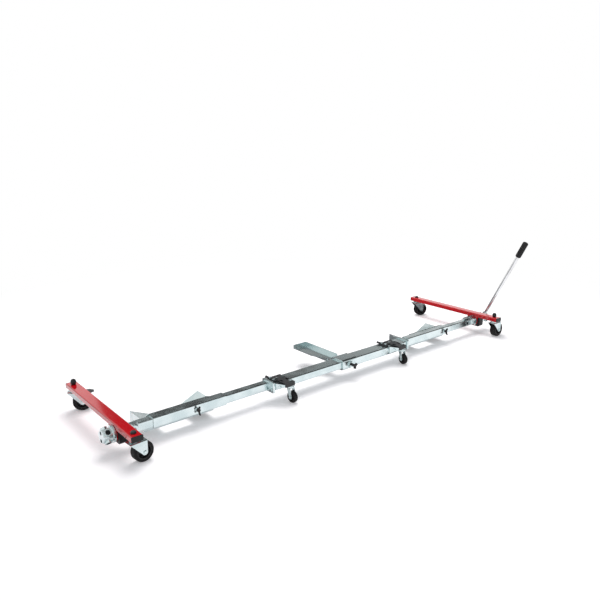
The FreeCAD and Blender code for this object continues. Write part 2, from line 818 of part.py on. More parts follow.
def brake_pedal():
    """A pedal whose cheeks hang on the axle, outside the fork's legs."""
    castor = braked_castor
    inside = leg_inside(castor) + leg_thickness + running_gap
    outside = inside + pedal_thickness
    foot = V(castor.trail, 0, castor.wheel_radius)
    top = castor.wheel_radius + pedal_rise
    shapes = []
    for start in (-outside, inside):
        outline = [
            V(castor.trail - pedal_cheek_radius, start, castor.wheel_radius), V(pedal_start, start, top),
            V(pedal_knee, start, top), V(castor.trail + pedal_cheek_radius, start, castor.wheel_radius),
        ]
        heel = foot + ACROSS * start
        shapes += [prism(outline, ACROSS * pedal_thickness)]
        shapes += [rod(pedal_cheek_radius, heel, heel + ACROSS * pedal_thickness)]
    half = [(pedal_start, outside), (pedal_knee, outside), (pedal_tip, pedal_tip_half)]
    outline = [V(x, y, top) for x, y in half] + [V(x, -y, top) for x, y in half[::-1]]
    tread = prism(outline, UP * -pedal_thickness)
    tips = [edge for edge in long_edges(tread, UP) if edge.CenterOfMass.x > pedal_tip - pedal_corner]
    shapes.append(tread.makeFillet(pedal_corner, tips))
    pitch = (pedal_tip - pedal_corner - pedal_knee) / pedal_rib_count
    for step in range(pedal_rib_count):
        start = pedal_knee + step * pitch
        rib = (start, start + pedal_rib)
        shapes.append(block(rib, (-pedal_tip_half, pedal_tip_half), (top, top + pedal_rib)))
    reach = ACROSS * (outside + cut_overrun)
    return fused(shapes).cut(rod(axle_radius + shaft_gap, foot - reach, foot + reach))


def stem_knob(middle, place):
    """A domed knob screwed on top of a castor stem."""
    base = V(middle, place, beam_top + running_gap)
    dome = knob_height - knob_radius
    profile = [(0, 0), (knob_foot_radius, 0), (knob_radius, knob_skirt), (knob_radius, dome), (0, dome)]
    shape = fused([lathe(profile, base, UP), Part.makeSphere(knob_radius, base + UP * dome)])
    bore_end = V(middle, place, knob_stem_end())
    return shape.cut(rod(kingpin_radius + shaft_gap, base - UP * cut_overrun, bore_end))


def knob_stem_end():
    """How high a castor stem reaches inside its knob."""
    return beam_top + knob_height - knob_radius + seat_gap


def cradle(centre, inward, wing_offset):
    """A wheel cradle: a sleeve on the rail, a hanger plate and two sloping prongs."""
    span = sorted((centre - inward * sleeve_outward, centre + inward * sleeve_inward))
    rise = around(rail_axis_height, 2 * sleeve_half)
    sleeve = tube(span, (-sleeve_half, sleeve_half), rise, ALONG, sleeve_wall, rail_corner)
    edge = sleeve_half + hanger_thickness
    hanger = block((centre - prong_outer, centre + prong_outer), (sleeve_half, edge), (hanger_foot, rise[1]))
    tips = [line for line in long_edges(hanger, ACROSS) if line.CenterOfMass.z > rail_axis_height]
    shapes = [sleeve, hanger.makeFillet(hanger_corner, tips)]
    slope = (prong_high - prong_low) / (prong_outer - prong_inner)
    drop = prong_thickness * math.hypot(1, slope)
    bend = prong_outer - prong_thickness
    for side in (-1, 1):
        outline = [
            (prong_inner, prong_low), (prong_outer, prong_high),
            (prong_outer, prong_foot), (bend, prong_foot),
            (bend, prong_high - slope * prong_thickness - drop), (prong_inner, prong_low - drop),
        ]
        points = [V(centre + side * x, edge, z) for x, z in outline]
        shapes.append(prism(points, ACROSS * (prong_reach - edge)))
    x = centre + wing_offset
    face = V(x, -sleeve_half, rail_axis_height)
    shapes.append(rod(cradle_boss_radius, face, face - ACROSS * cradle_boss_height))
    hole_end = face - ACROSS * (cradle_boss_height + cut_overrun)
    return fused(shapes).cut(rod(wing_stud_radius + shaft_gap, V(x, 0, rail_axis_height), hole_end))


def wing_screw(x):
    """A wing screw through a cradle's near face, its tip just short of the rail."""
    seat = -sleeve_half - cradle_boss_height - running_gap
    tip = V(x, -rail_size / 2 - running_gap, rail_axis_height)
    face = V(x, seat, rail_axis_height)
    core_end = face - ACROSS * wing_core_length
    shapes = [rod(wing_stud_radius, core_end, tip), rod(wing_core_radius, core_end, face)]
    near = seat - wing_core_length
    for side in (-1, 1):
        outline = [
            (0, near), (wing_span / 2, near - wing_rise), (wing_span / 2, near - wing_rise + wing_tip),
            (0, near + wing_root),
        ]
        points = [V(x - wing_thickness / 2, y, rail_axis_height + side * lift) for lift, y in outline]
        shapes.append(prism(points, ALONG * wing_thickness))
    return fused(shapes)


def rail_collar():
    """The band round the outer rail's open end, with the boss that carries the star knob."""
    span = (outer_rail_start, outer_rail_start + collar_length)
    step = seat_gap + collar_wall
    across = (-outer_rail_near - step, outer_rail_far + step)
    rise = around(rail_axis_height, outer_rail_height + 2 * step)
    band = tube(span, across, rise, ALONG, collar_wall, rail_corner + seat_gap + collar_wall)
    x, z = star_place()
    root = V(x, across[0] + collar_wall, z)
    face = V(x, across[0] - collar_boss_height, z)
    stud = rod(star_stud_radius + shaft_gap, face - ACROSS * cut_overrun, V(x, 0, z))
    return fused([band, rod(collar_boss_radius, root, face)]).cut(stud)


def star_place():
    """Where the star knob stands along the rail and above the floor."""
    return outer_rail_start + star_station, rail_axis_height - star_drop


def star_knob():
    """A lobed hand knob whose stud bears on the inner rail."""
    x, z = star_place()
    boss_face = -outer_rail_near - seat_gap - collar_wall - collar_boss_height
    face = V(x, boss_face - running_gap, z)
    neck = face - ACROSS * star_neck_length
    end = neck - ACROSS * star_length
    grip = rod(star_radius, neck, end)
    for step in range(star_arms):
        turn = math.radians(90 + 360 * step / star_arms)
        ray = ALONG * math.cos(turn) + UP * math.sin(turn)
        scallop = neck + ACROSS * cut_overrun + ray * star_scallop_circle
        scallop_end = end - ACROSS * cut_overrun + ray * star_scallop_circle
        grip = grip.cut(rod(star_scallop_radius, scallop, scallop_end))
    stud = rod(star_stud_radius, neck, V(x, -inner_rail_near - running_gap, z))
    return fused([grip, rod(star_neck_radius, neck, face), stud])


def stand_arm():
    """The arm for the prop stand's plate, welded to the collar's far side."""
    centre = outer_rail_start + arm_station
    rise = (arm_top - arm_height, arm_top)
    return tube(around(centre, arm_width), (collar_far, arm_reach), rise, ACROSS, arm_wall, arm_corner)


def stand_plate():
    """A tapered plate with an upturned lip that slides along the arm on a saddle."""
    centre = outer_rail_start + arm_station
    low = arm_top + running_gap
    half = arm_width / 2 + running_gap
    outline = [
        V(centre - plate_near_half, plate_near, low), V(centre + plate_near_half, plate_near, low),
        V(centre + plate_near_half, plate_far, low), V(centre - plate_far_half, plate_far, low),
        V(centre - plate_far_half, saddle_far, low),
    ]
    shapes = [prism(outline, UP * plate_thickness)]
    lip = (centre + plate_near_half - plate_lip_thickness, centre + plate_near_half)
    shapes.append(block(lip, (plate_near, plate_far), (low, low + plate_lip)))
    stop = (plate_far - plate_lip_thickness, plate_far)
    shapes.append(block((centre - plate_far_half, centre + plate_near_half), stop, (low, low + plate_lip)))
    for start in (centre - half - saddle_wall, centre + half):
        wall = (start, start + saddle_wall)
        shapes.append(block(wall, (saddle_near, saddle_far), (low - saddle_depth, low + plate_thickness)))
    return fused(shapes)


def turned(shape, middle, place, turn):
    """A castor piece moved to its stem and swung to its angle."""
    return shape.rotated(V(0, 0, 0), UP, turn).translated(V(middle, place, 0))


def save(name, shape):
    """One piece, moved so that the origin is under the middle of the dolly."""
    shape.translated(V(-origin_x, -origin_y, 0)).exportStep("parts/" + name + ".step")


os.makedirs("parts", exist_ok=True)

# Beams with their caps, bearings and castor stems
for end_name, side, knob_place, nut_place, hub_length, socket_station, hub_turn in (
    ("rear", -1, far_castor, near_castor, rear_hub_length, rear_socket_station, rear_hub_turn),
    ("front", 1, near_castor, far_castor, front_hub_length, front_socket_station, lever_lean),
):
    middle = side * beam_spacing / 2
    stems = [
        castor_stem(end_castor, middle, knob_place, beam_bottom, knob_stem_end() - seat_gap),
        castor_stem(end_castor, middle, nut_place, beam_bottom, flat_stem_end),
    ]
    save(end_name + "_beam", beam(side))
    save(end_name + "_beam_end_caps", end_caps(side))
    save(end_name + "_bearing_block", bearing_block(side))
    save(end_name + "_castor_stems", Part.makeCompound(stems))
    save(end_name + "_stem_nut", stem_nut(middle, nut_place))
    save(end_name + "_stem_knob", stem_knob(middle, knob_place))
    save(end_name + "_shaft", shaft(side))
    save(end_name + "_hub", hub(side, hub_length, socket_station, hub_turn))

# Castors: name, sizes, stem place and the angle that each trails at
rear_middle = -beam_spacing / 2
front_middle = beam_spacing / 2
for castor_name, castor, middle, place, turn in (
    ("near_rear", end_castor, rear_middle, near_castor, near_rear_turn),
    ("far_rear", braked_castor, rear_middle, far_castor, far_rear_turn),
    ("near_front", end_castor, front_middle, near_castor, near_front_turn),
    ("far_front", end_castor, front_middle, far_castor, far_front_turn),
    ("middle_rear", middle_castor, rear_outrigger, -middle_castor_offset, rear_middle_turn),
    ("middle_front", middle_castor, front_outrigger, -middle_castor_offset, front_middle_turn),
):
    save(castor_name + "_fork", turned(fork(castor), middle, place, turn))
    save(castor_name + "_axle", turned(axle(castor), middle, place, turn))
    if castor is middle_castor:
        save(castor_name + "_wheel", turned(solid_wheel(castor), middle, place, turn))
        continue
    save(castor_name + "_wheel_core", turned(wheel_core(castor), middle, place, turn))
    save(castor_name + "_tyre", turned(tyre(castor), middle, place, turn))
save("brake_pedal", turned(brake_pedal(), rear_middle, far_castor, far_rear_turn))

# Rails, outriggers and cradles
save("rear_rail", end_rail(-1, rear_joint, rear_flange_far))
save("front_rail", end_rail(1, front_joint, front_flange_far))
save("inner_rail", inner_rail())
save("outer_rail", outer_rail())
for end_name, side, bracket, joint in (
    ("rear", -1, rear_bracket, rear_joint),
    ("front", 1, front_bracket, front_joint),
):
    save(end_name + "_outrigger", outrigger(bracket))
    save(end_name + "_gusset", gusset(bracket))
    save(end_name + "_bracket_fasteners", bracket_fasteners(side, bracket, joint))
for end_name, centre, inward, wing_offset in (
    ("rear", rear_cradle_centre, 1, rear_wing_offset),
    ("front", front_cradle_centre, -1, front_wing_offset),
):
    save(end_name + "_cradle", cradle(centre, inward, wing_offset))
    save(end_name + "_wing_screw", wing_screw(centre + wing_offset))

# Collar, prop stand plate and lever
save("rail_collar", rail_collar())
save("star_knob", star_knob())
save("stand_arm", stand_arm())
save("stand_plate", stand_plate())
save("lever_tube", lever_tube())
save("lever_grip", lever_grip())
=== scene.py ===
"""Looks of the low wheeled dolly: its refined meshes, welds, moulded pieces, finishes and studio."""

import json
import logging
import math
from abc import ABC, abstractmethod
from dataclasses import dataclass, field
from enum import Enum
from typing import Any, Callable, ClassVar, Iterator, Sequence

import bmesh
import bpy
from mathutils import Matrix, Vector


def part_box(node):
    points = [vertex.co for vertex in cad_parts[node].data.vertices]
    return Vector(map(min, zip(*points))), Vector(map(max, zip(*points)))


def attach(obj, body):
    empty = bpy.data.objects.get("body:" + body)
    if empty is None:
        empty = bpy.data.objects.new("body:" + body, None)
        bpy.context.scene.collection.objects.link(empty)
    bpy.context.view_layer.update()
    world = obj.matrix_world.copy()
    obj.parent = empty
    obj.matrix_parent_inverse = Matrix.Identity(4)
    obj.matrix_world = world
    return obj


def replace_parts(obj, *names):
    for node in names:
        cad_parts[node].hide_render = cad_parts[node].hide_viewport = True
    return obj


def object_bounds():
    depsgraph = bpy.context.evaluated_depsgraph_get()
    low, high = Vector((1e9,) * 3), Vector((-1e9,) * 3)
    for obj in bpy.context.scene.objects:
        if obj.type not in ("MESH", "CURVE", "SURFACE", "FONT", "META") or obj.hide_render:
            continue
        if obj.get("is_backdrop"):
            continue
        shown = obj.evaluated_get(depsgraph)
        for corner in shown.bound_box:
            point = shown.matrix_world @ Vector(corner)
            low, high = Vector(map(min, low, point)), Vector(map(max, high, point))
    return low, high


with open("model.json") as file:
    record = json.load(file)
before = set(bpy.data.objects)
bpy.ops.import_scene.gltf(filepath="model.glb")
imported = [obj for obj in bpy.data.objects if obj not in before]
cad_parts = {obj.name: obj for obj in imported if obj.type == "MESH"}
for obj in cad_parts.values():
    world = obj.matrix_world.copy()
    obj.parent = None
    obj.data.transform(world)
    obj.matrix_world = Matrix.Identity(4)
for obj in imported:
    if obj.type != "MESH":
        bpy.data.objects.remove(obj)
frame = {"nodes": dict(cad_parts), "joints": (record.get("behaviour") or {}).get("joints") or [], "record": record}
CAD_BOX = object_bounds()
LOG = logging.getLogger("dolly")

Colour = tuple[float, float, float, float]
Corner = tuple[float, float, float]
Span = tuple[float, float]
Socket = bpy.types.NodeSocket
Sockets = dict[str, Any]

UP = Vector((0, 0, 1))
ALONG = Vector((1, 0, 0))
ACROSS = Vector((0, 1, 0))
MILLIMETRE = 0.001
WHOLE: Span = (0.0, 1.0)
MERGE_DISTANCE = 1e-6
FLAT_ANGLE = math.radians(0.2)
EDGE_ANGLE = math.radians(28)
SHARP_ANGLE = math.radians(50)
TURN_STEPS = 64
DISC_STEPS = 32
ROD_STEPS = 24
CORNER_STEPS = 5
EDGE_STEPS = 2
BEAD_SIDES = 8
BEAD_SWELL = 1.22
BEAD_PITCH = 0.9
BEAD_LEAST = 3


class Slot(Enum):
    """Material slots of the record."""

    RED_PAINT = "red_paint"
    ZINC_PLATE = "zinc_plate"
    BLACK_PAINT = "black_paint"
    BLACK_PLASTIC = "black_plastic"
    TYRE_RUBBER = "tyre_rubber"
    WHEEL_CORE = "wheel_core"
    CHROME_PLATE = "chrome_plate"
    GRIP_RUBBER = "grip_rubber"


class End(Enum):
    """The two ends of the dolly."""

    REAR = "rear"
    FRONT = "front"


class Effect(Enum):
    """Node groups that several finishes share."""

    MOTTLE = "Mottle"
    GRAIN = "Grain"
    BRUSHED = "Brushed"
    EDGE_WEAR = "Edge wear"
    FLOOR_DUST = "Floor dust"


class Graph:
    """A node tree that is filled node by node."""

    def __init__(self, tree: bpy.types.NodeTree) -> None:
        """Takes an existing tree to fill."""
        self.tree = tree

    @classmethod
    def of(cls, owner: bpy.types.Material | bpy.types.World) -> "Graph":
        """The emptied nodes of a material or the world.

        Args:
            owner: The material or the world.

        Returns:
            Its graph.
        """
        owner.use_nodes = True
        owner.node_tree.nodes.clear()
        return cls(owner.node_tree)

    def feed(self, socket: Socket, value: Any) -> None:
        """Links or sets an input.

        Args:
            socket: The input.
            value: The socket or the plain value that feeds it.
        """
        if isinstance(value, Socket):
            self.tree.links.new(value, socket)
        else:
            socket.default_value = value

    def add(self, kind: str, inputs: dict | None = None, **settings: Any) -> bpy.types.Node:
        """Adds a node and fills its inputs.

        Args:
            kind: The node's type name.
            inputs: Values or sockets by input name or number.
            settings: Properties of the node.

        Returns:
            The new node.
        """
        node = self.tree.nodes.new(kind)
        for name, value in settings.items():
            setattr(node, name, value)
        for key, value in (inputs or {}).items():
            self.feed(node.inputs[key], value)
        return node

    def math(self, operation: str, first: Any, second: Any) -> Socket:
        """The clamped sum, product or other operation on two values."""
        inputs = {0: first, 1: second}
        return self.add("ShaderNodeMath", inputs, operation=operation, use_clamp=True).outputs[0]

    def blend(self, share: Any, first: Any, second: Any) -> Socket:
        """Mixes two colours.

        Args:
            share: How much of the second colour shows.
            first: First colour or socket.
            second: Second colour or socket.

        Returns:
            The mixed colour's socket.
        """
        node = self.add("ShaderNodeMix", data_type="RGBA")
        for name, value in (("Factor_Float", share), ("A_Color", first), ("B_Color", second)):
            self.feed(next(one for one in node.inputs if one.identifier == name), value)
        return next(one for one in node.outputs if one.identifier == "Result_Color")

    def ramp(self, value: Any, source: Span, target: Span) -> Socket:
        """Maps a value smoothly from one range to another.

        Args:
            value: Value or socket to map.
            source: Range that the value comes in.
            target: Range that it leaves in.

        Returns:
            The mapped value's socket.
        """
        inputs = {"Value": value, "From Min": source[0], "From Max": source[1]}
        inputs |= {"To Min": target[0], "To Max": target[1]}
        node = self.add("ShaderNodeMapRange", inputs, interpolation_type="SMOOTHSTEP")
        return node.outputs["Result"]

    def here(self) -> Socket:
        """Object coordinates."""
        return self.add("ShaderNodeTexCoord").outputs["Object"]

    def parts(self, vector: Socket) -> Any:
        """The X, Y and Z of a vector."""
        return self.add("ShaderNodeSeparateXYZ", {"Vector": vector}).outputs

    def noise(self, where: Socket, scale: Any, detail: float) -> Socket:
        """Noise at given coordinates."""
        inputs = {"Vector": where, "Scale": scale, "Detail": detail}
        return self.add("ShaderNodeTexNoise", inputs).outputs["Fac"]

    def glow(self, colour: Colour, strength: Any) -> Socket:
        """Light of one colour."""
        return self.add("ShaderNodeEmission", {"Color": colour, "Strength": strength}).outputs[0]

    def mix(self, share: Socket, first: Socket, second: Socket) -> Socket:
        """A mix of two shaders."""
        return self.add("ShaderNodeMixShader", {0: share, 1: first, 2: second}).outputs[0]

    def path(self, ray: str) -> Socket:
        """Whether a ray is of a kind."""
        return self.add("ShaderNodeLightPath").outputs[ray]


@dataclass
class Effects:
    """The shared node groups, built once and placed in materials.

    Attributes:
        mottle_band: Noise values between which the cloudy patches grow.
        wear_turn: Cosines of an edge's turn between which it gets rubbed.
        wear_band: Noise values between which the rubbed edges break up.
        dust_band: Noise values between which the dust gathers.
        groups: The finished groups.
    """

    mottle_band: Span = (0.34, 0.66)
    mottle_detail: float = 4.0
    grain_detail: float = 2.0
    brush_detail: float = 3.0
    wear_turn: Span = (0.995, 0.9)
    wear_band: Span = (0.45, 0.62)
    wear_detail: float = 5.0
    wear_samples: int = 4
    dust_band: Span = (0.4, 0.7)
    dust_detail: float = 6.0
    groups: dict[Effect, bpy.types.NodeTree] = field(default_factory=dict)

    def __post_init__(self) -> None:
        """Builds every group."""
        for build in (self.mottle, self.grain, self.brushed, self.edge_wear, self.floor_dust):
            build()

    def place(self, graph: Graph, effect: Effect, **values: float) -> Socket:
        """Places a group with its own values in a material."""
        return graph.add("ShaderNodeGroup", values, node_tree=self.groups[effect]).outputs[0]

    def start(self, effect: Effect, output: str, *inputs: str) -> tuple[Graph, Sockets, Callable]:
        """Starts a group with named inputs and one output.

        Args:
            effect: The group to start.
            output: The output's name.
            inputs: Names of the inputs.

        Returns:
            The group's nodes, its input sockets by name, and a call that sets the output.
        """
        tree = bpy.data.node_groups.new(effect.value, "ShaderNodeTree")
        tree.interface.new_socket(output, in_out="OUTPUT", socket_type="NodeSocketFloat")
        for name in inputs:
            tree.interface.new_socket(name, in_out="INPUT", socket_type="NodeSocketFloat")
        graph = Graph(tree)
        entry = graph.add("NodeGroupInput")
        leave = graph.add("NodeGroupOutput")
        self.groups[effect] = tree
        sockets = {name: entry.outputs[name] for name in inputs}
        return graph, sockets, lambda value: graph.feed(leave.inputs[output], value)

    def mottle(self) -> None:
        """Soft cloudy patches."""
        graph, given, leave = self.start(Effect.MOTTLE, "Mask", "Scale")
        noise = graph.noise(graph.here(), given["Scale"], self.mottle_detail)
        leave(graph.ramp(noise, self.mottle_band, WHOLE))

    def grain(self) -> None:
        """Fine even grain of moulded, painted and rubber surfaces."""
        graph, given, leave = self.start(Effect.GRAIN, "Height", "Scale", "Coarse")
        where = graph.here()
        cells = graph.add("ShaderNodeTexVoronoi", {"Vector": where, "Scale": given["Scale"]})
        lumps = graph.math("MULTIPLY", cells.outputs["Distance"], given["Coarse"])
        leave(graph.math("ADD", graph.noise(where, given["Scale"], self.grain_detail), lumps))

    def brushed(self) -> None:
        """Fine drawing lines along X with a little cross variation."""
        graph, given, leave = self.start(Effect.BRUSHED, "Height", "Scale", "Stretch")
        parts = graph.parts(graph.here())
        drawn = {0: parts["X"], 1: given["Stretch"]}
        along = graph.add("ShaderNodeMath", drawn, operation="MULTIPLY").outputs[0]
        lines = {"X": along, "Y": parts["Y"], "Z": parts["Z"]}
        where = graph.add("ShaderNodeCombineXYZ", lines).outputs[0]
        leave(graph.noise(where, given["Scale"], self.brush_detail))

    def edge_wear(self) -> None:
        """Rubbed outer edges, broken up by noise."""
        graph, given, leave = self.start(Effect.EDGE_WEAR, "Mask", "Width", "Breakup")
        soft = graph.add("ShaderNodeBevel", {"Radius": given["Width"]}, samples=self.wear_samples)
        plain = graph.add("ShaderNodeNewGeometry").outputs["Normal"]
        normals = {0: soft.outputs[0], 1: plain}
        turn = graph.add("ShaderNodeVectorMath", normals, operation="DOT_PRODUCT").outputs["Value"]
        broken = graph.noise(graph.here(), given["Breakup"], self.wear_detail)
        leave(graph.math("MULTIPLY", graph.ramp(turn, self.wear_turn, WHOLE),
                         graph.ramp(broken, self.wear_band, WHOLE)))

    def floor_dust(self) -> None:
        """Dust that thins out with height above the floor."""
        graph, given, leave = self.start(Effect.FLOOR_DUST, "Mask", "Height", "Scale")
        where = graph.here()
        lift = graph.math("DIVIDE", graph.parts(where)["Z"], given["Height"])
        noise = graph.noise(where, given["Scale"], self.dust_detail)
        leave(graph.math("MULTIPLY", graph.math("SUBTRACT", 1.0, lift),
                         graph.ramp(noise, self.dust_band, WHOLE)))


@dataclass(frozen=True)
class Finish(ABC):
    """A finish that becomes one material.

    Attributes:
        slot: The record's slot that it fills.
        colour: Main colour.
        second: Colour of the cloudy patches.
        dull: Colour of dusty places.
        roughness: Lowest and highest roughness.
        bump: Depth of the surface relief in metres.
        strength: How strongly the relief shows.
        clouds: Scale of the cloudy patches.
        wear: Width of the rubbed edges and scale of their noise.
        dusting: Height of the dust and scale of its noise.
        share: How much of the dull colour shows.
    """

    slot: Slot
    colour: Colour
    second: Colour
    dull: Colour
    roughness: Span
    bump: float
    strength: float
    clouds: ClassVar[float]
    wear: ClassVar[Span]
    dusting: ClassVar[Span]
    share: ClassVar[float]

    def material(self, effects: Effects) -> bpy.types.Material:
        """Builds the material.

        Args:
            effects: The shared node groups.

        Returns:
            The finished material.
        """
        made = bpy.data.materials.new(self.slot.value)
        graph = Graph.of(made)
        clouds = effects.place(graph, Effect.MOTTLE, Scale=self.clouds)
        worn = effects.place(graph, Effect.EDGE_WEAR, Width=self.wear[0], Breakup=self.wear[1])
        dusty = effects.place(graph, Effect.FLOOR_DUST, Height=self.dusting[0], Scale=self.dusting[1])
        height = self.height(graph, effects)
        relief = {"Height": height, "Distance": self.bump, "Strength": self.strength}
        shader = graph.add("ShaderNodeBsdfPrincipled", self.plain_values() | {
            "Base Color": self.aged(graph, graph.blend(clouds, self.colour, self.second), worn, dusty),
            "Roughness": self.shine(graph, clouds, height),
            "Normal": graph.add("ShaderNodeBump", relief).outputs["Normal"],
        })
        graph.add("ShaderNodeOutputMaterial", {"Surface": shader.outputs[0]})
        return made

    @abstractmethod
    def plain_values(self) -> Sockets:
        """The shader's plain values."""

    @abstractmethod
    def height(self, graph: Graph, effects: Effects) -> Socket:
        """The height of the surface relief."""

    def aged(self, graph: Graph, colour: Socket, worn: Socket, dusty: Socket) -> Socket:
        """The colour with its rubbed edges and dust."""
        tired = graph.math("MULTIPLY", graph.math("ADD", worn, dusty), self.share)
        return graph.blend(tired, colour, self.dull)

    def shine(self, graph: Graph, clouds: Socket, height: Socket) -> Socket:
        """The roughness."""
        return graph.ramp(clouds, WHOLE, self.roughness)


@dataclass(frozen=True)
class Paint(Finish):
    """Sprayed paint with orange peel, rubbed edges and floor dust.

    Attributes:
        rubbed: Colour of the rubbed edges.
        gloss: Strength of the mirror on the paint, 0.5 for a plain one.
        coat: Share of clear lacquer over the paint, and its roughness.
        rub_share: How much of the rubbed colour shows.
        peel: Scale of the orange peel and share of its coarse lumps.
    """

    rubbed: Colour
    gloss: float
    coat: Span
    clouds: ClassVar[float] = 6.0
    wear: ClassVar[Span] = (0.0022, 70.0)
    dusting: ClassVar[Span] = (0.12, 55.0)
    share: ClassVar[float] = 0.15
    rub_share: ClassVar[float] = 0.35
    peel: ClassVar[Span] = (420.0, 0.2)

    def plain_values(self) -> Sockets:
        """The shader's plain values."""
        coat = {"Coat Weight": self.coat[0], "Coat Roughness": self.coat[1]}
        return coat | {"Specular IOR Level": self.gloss}

    def height(self, graph: Graph, effects: Effects) -> Socket:
        """The orange peel."""
        return effects.place(graph, Effect.GRAIN, Scale=self.peel[0], Coarse=self.peel[1])

    def aged(self, graph: Graph, colour: Socket, worn: Socket, dusty: Socket) -> Socket:
        """The colour with its rubbed edges and dust."""
        edged = graph.blend(graph.math("MULTIPLY", worn, self.rub_share), colour, self.rubbed)
        return graph.blend(graph.math("MULTIPLY", dusty, self.share), edged, self.dull)


@dataclass(frozen=True)
class Plate(Finish):
    """Plated steel with drawing lines, cloudy tints and dull dust.

    Attributes:
        lines: Scale of the drawing lines and their stretch along X.
        shine_band: Values of lines and clouds between which the roughness grows.
    """

    clouds: ClassVar[float] = 14.0
    wear: ClassVar[Span] = (0.0016, 120.0)
    dusting: ClassVar[Span] = (0.09, 70.0)
    share: ClassVar[float] = 0.4
    lines: ClassVar[Span] = (650.0, 0.03)
    shine_band: ClassVar[Span] = (0.2, 0.85)

    def plain_values(self) -> Sockets:
        """The shader's plain values."""
        return {"Metallic": 1.0}

    def height(self, graph: Graph, effects: Effects) -> Socket:
        """The drawing lines."""
        return effects.place(graph, Effect.BRUSHED, Scale=self.lines[0], Stretch=self.lines[1])

    def shine(self, graph: Graph, clouds: Socket, height: Socket) -> Socket:
        """The roughness, half from the lines and half from the clouds."""
        lines, patches = (graph.math("MULTIPLY", one, 1 / 2) for one in (height, clouds))
        return graph.ramp(graph.math("ADD", lines, patches), self.shine_band, self.roughness)


@dataclass(frozen=True)
class Moulded(Finish):
    """Moulded plastic or rubber with an even grain and scuffed edges.

    Attributes:
        grain: Scale of the grain.
        gloss: Strength of the mirror on it, 0.5 for a plain one.
        coarse: Share of the grain's coarse lumps.
    """

    grain: float
    gloss: float
    clouds: ClassVar[float] = 30.0
    wear: ClassVar[Span] = (0.0015, 160.0)
    dusting: ClassVar[Span] = (0.05, 90.0)
    share: ClassVar[float] = 0.3
    coarse: ClassVar[float] = 0.5

    def plain_values(self) -> Sockets:
        """The shader's plain values."""
        return {"Specular IOR Level": self.gloss}

    def height(self, graph: Graph, effects: Effects) -> Socket:
        """The grain."""
        return effects.place(graph, Effect.GRAIN, Scale=self.grain, Coarse=self.coarse)


FINISHES: tuple[Finish, ...] = (
    Paint(Slot.RED_PAINT, (0.58, 0.002, 0.008, 1), (0.53, 0.0015, 0.007, 1), (0.28, 0.10, 0.09, 1),
          (0.08, 0.13), 0.0006, 0.18, rubbed=(0.48, 0.02, 0.02, 1), gloss=0.14, coat=(1.0, 0.02)),
    Paint(Slot.BLACK_PAINT, (0.015, 0.016, 0.018, 1), (0.022, 0.023, 0.025, 1), (0.10, 0.095, 0.09, 1),
          (0.34, 0.46), 0.0006, 0.18, rubbed=(0.09, 0.09, 0.10, 1), gloss=0.40, coat=(0.0, 0.3)),
    Plate(Slot.ZINC_PLATE, (0.66, 0.745, 0.75, 1), (0.56, 0.66, 0.67, 1), (0.45, 0.51, 0.51, 1),
          (0.16, 0.27), 0.0003, 0.06),
    Plate(Slot.CHROME_PLATE, (0.74, 0.75, 0.76, 1), (0.66, 0.665, 0.67, 1), (0.44, 0.44, 0.44, 1),
          (0.07, 0.16), 0.0002, 0.05),
    Moulded(Slot.BLACK_PLASTIC, (0.011, 0.011, 0.012, 1), (0.016, 0.016, 0.017, 1),
            (0.09, 0.09, 0.09, 1), (0.36, 0.50), 0.0005, 0.20, grain=1100.0, gloss=0.30),
    Moulded(Slot.TYRE_RUBBER, (0.008, 0.008, 0.009, 1), (0.013, 0.013, 0.013, 1),
            (0.10, 0.095, 0.09, 1), (0.55, 0.74), 0.0006, 0.35, grain=700.0, gloss=0.18),
    Moulded(Slot.WHEEL_CORE, (0.018, 0.018, 0.019, 1), (0.026, 0.026, 0.027, 1),
            (0.12, 0.12, 0.12, 1), (0.38, 0.52), 0.0005, 0.20, grain=900.0, gloss=0.20),
    Moulded(Slot.GRIP_RUBBER, (0.012, 0.012, 0.013, 1), (0.019, 0.019, 0.020, 1),
            (0.08, 0.08, 0.08, 1), (0.50, 0.66), 0.0006, 0.40, grain=800.0, gloss=0.25),
)


def frame_of(origin: Vector, across: Vector, out: Vector) -> Matrix:
    """A place with a given origin, whose Z points out and whose X points across."""
    columns = Matrix((across, out.cross(across), out)).transposed()
    return Matrix.Translation(origin) @ columns.to_4x4()


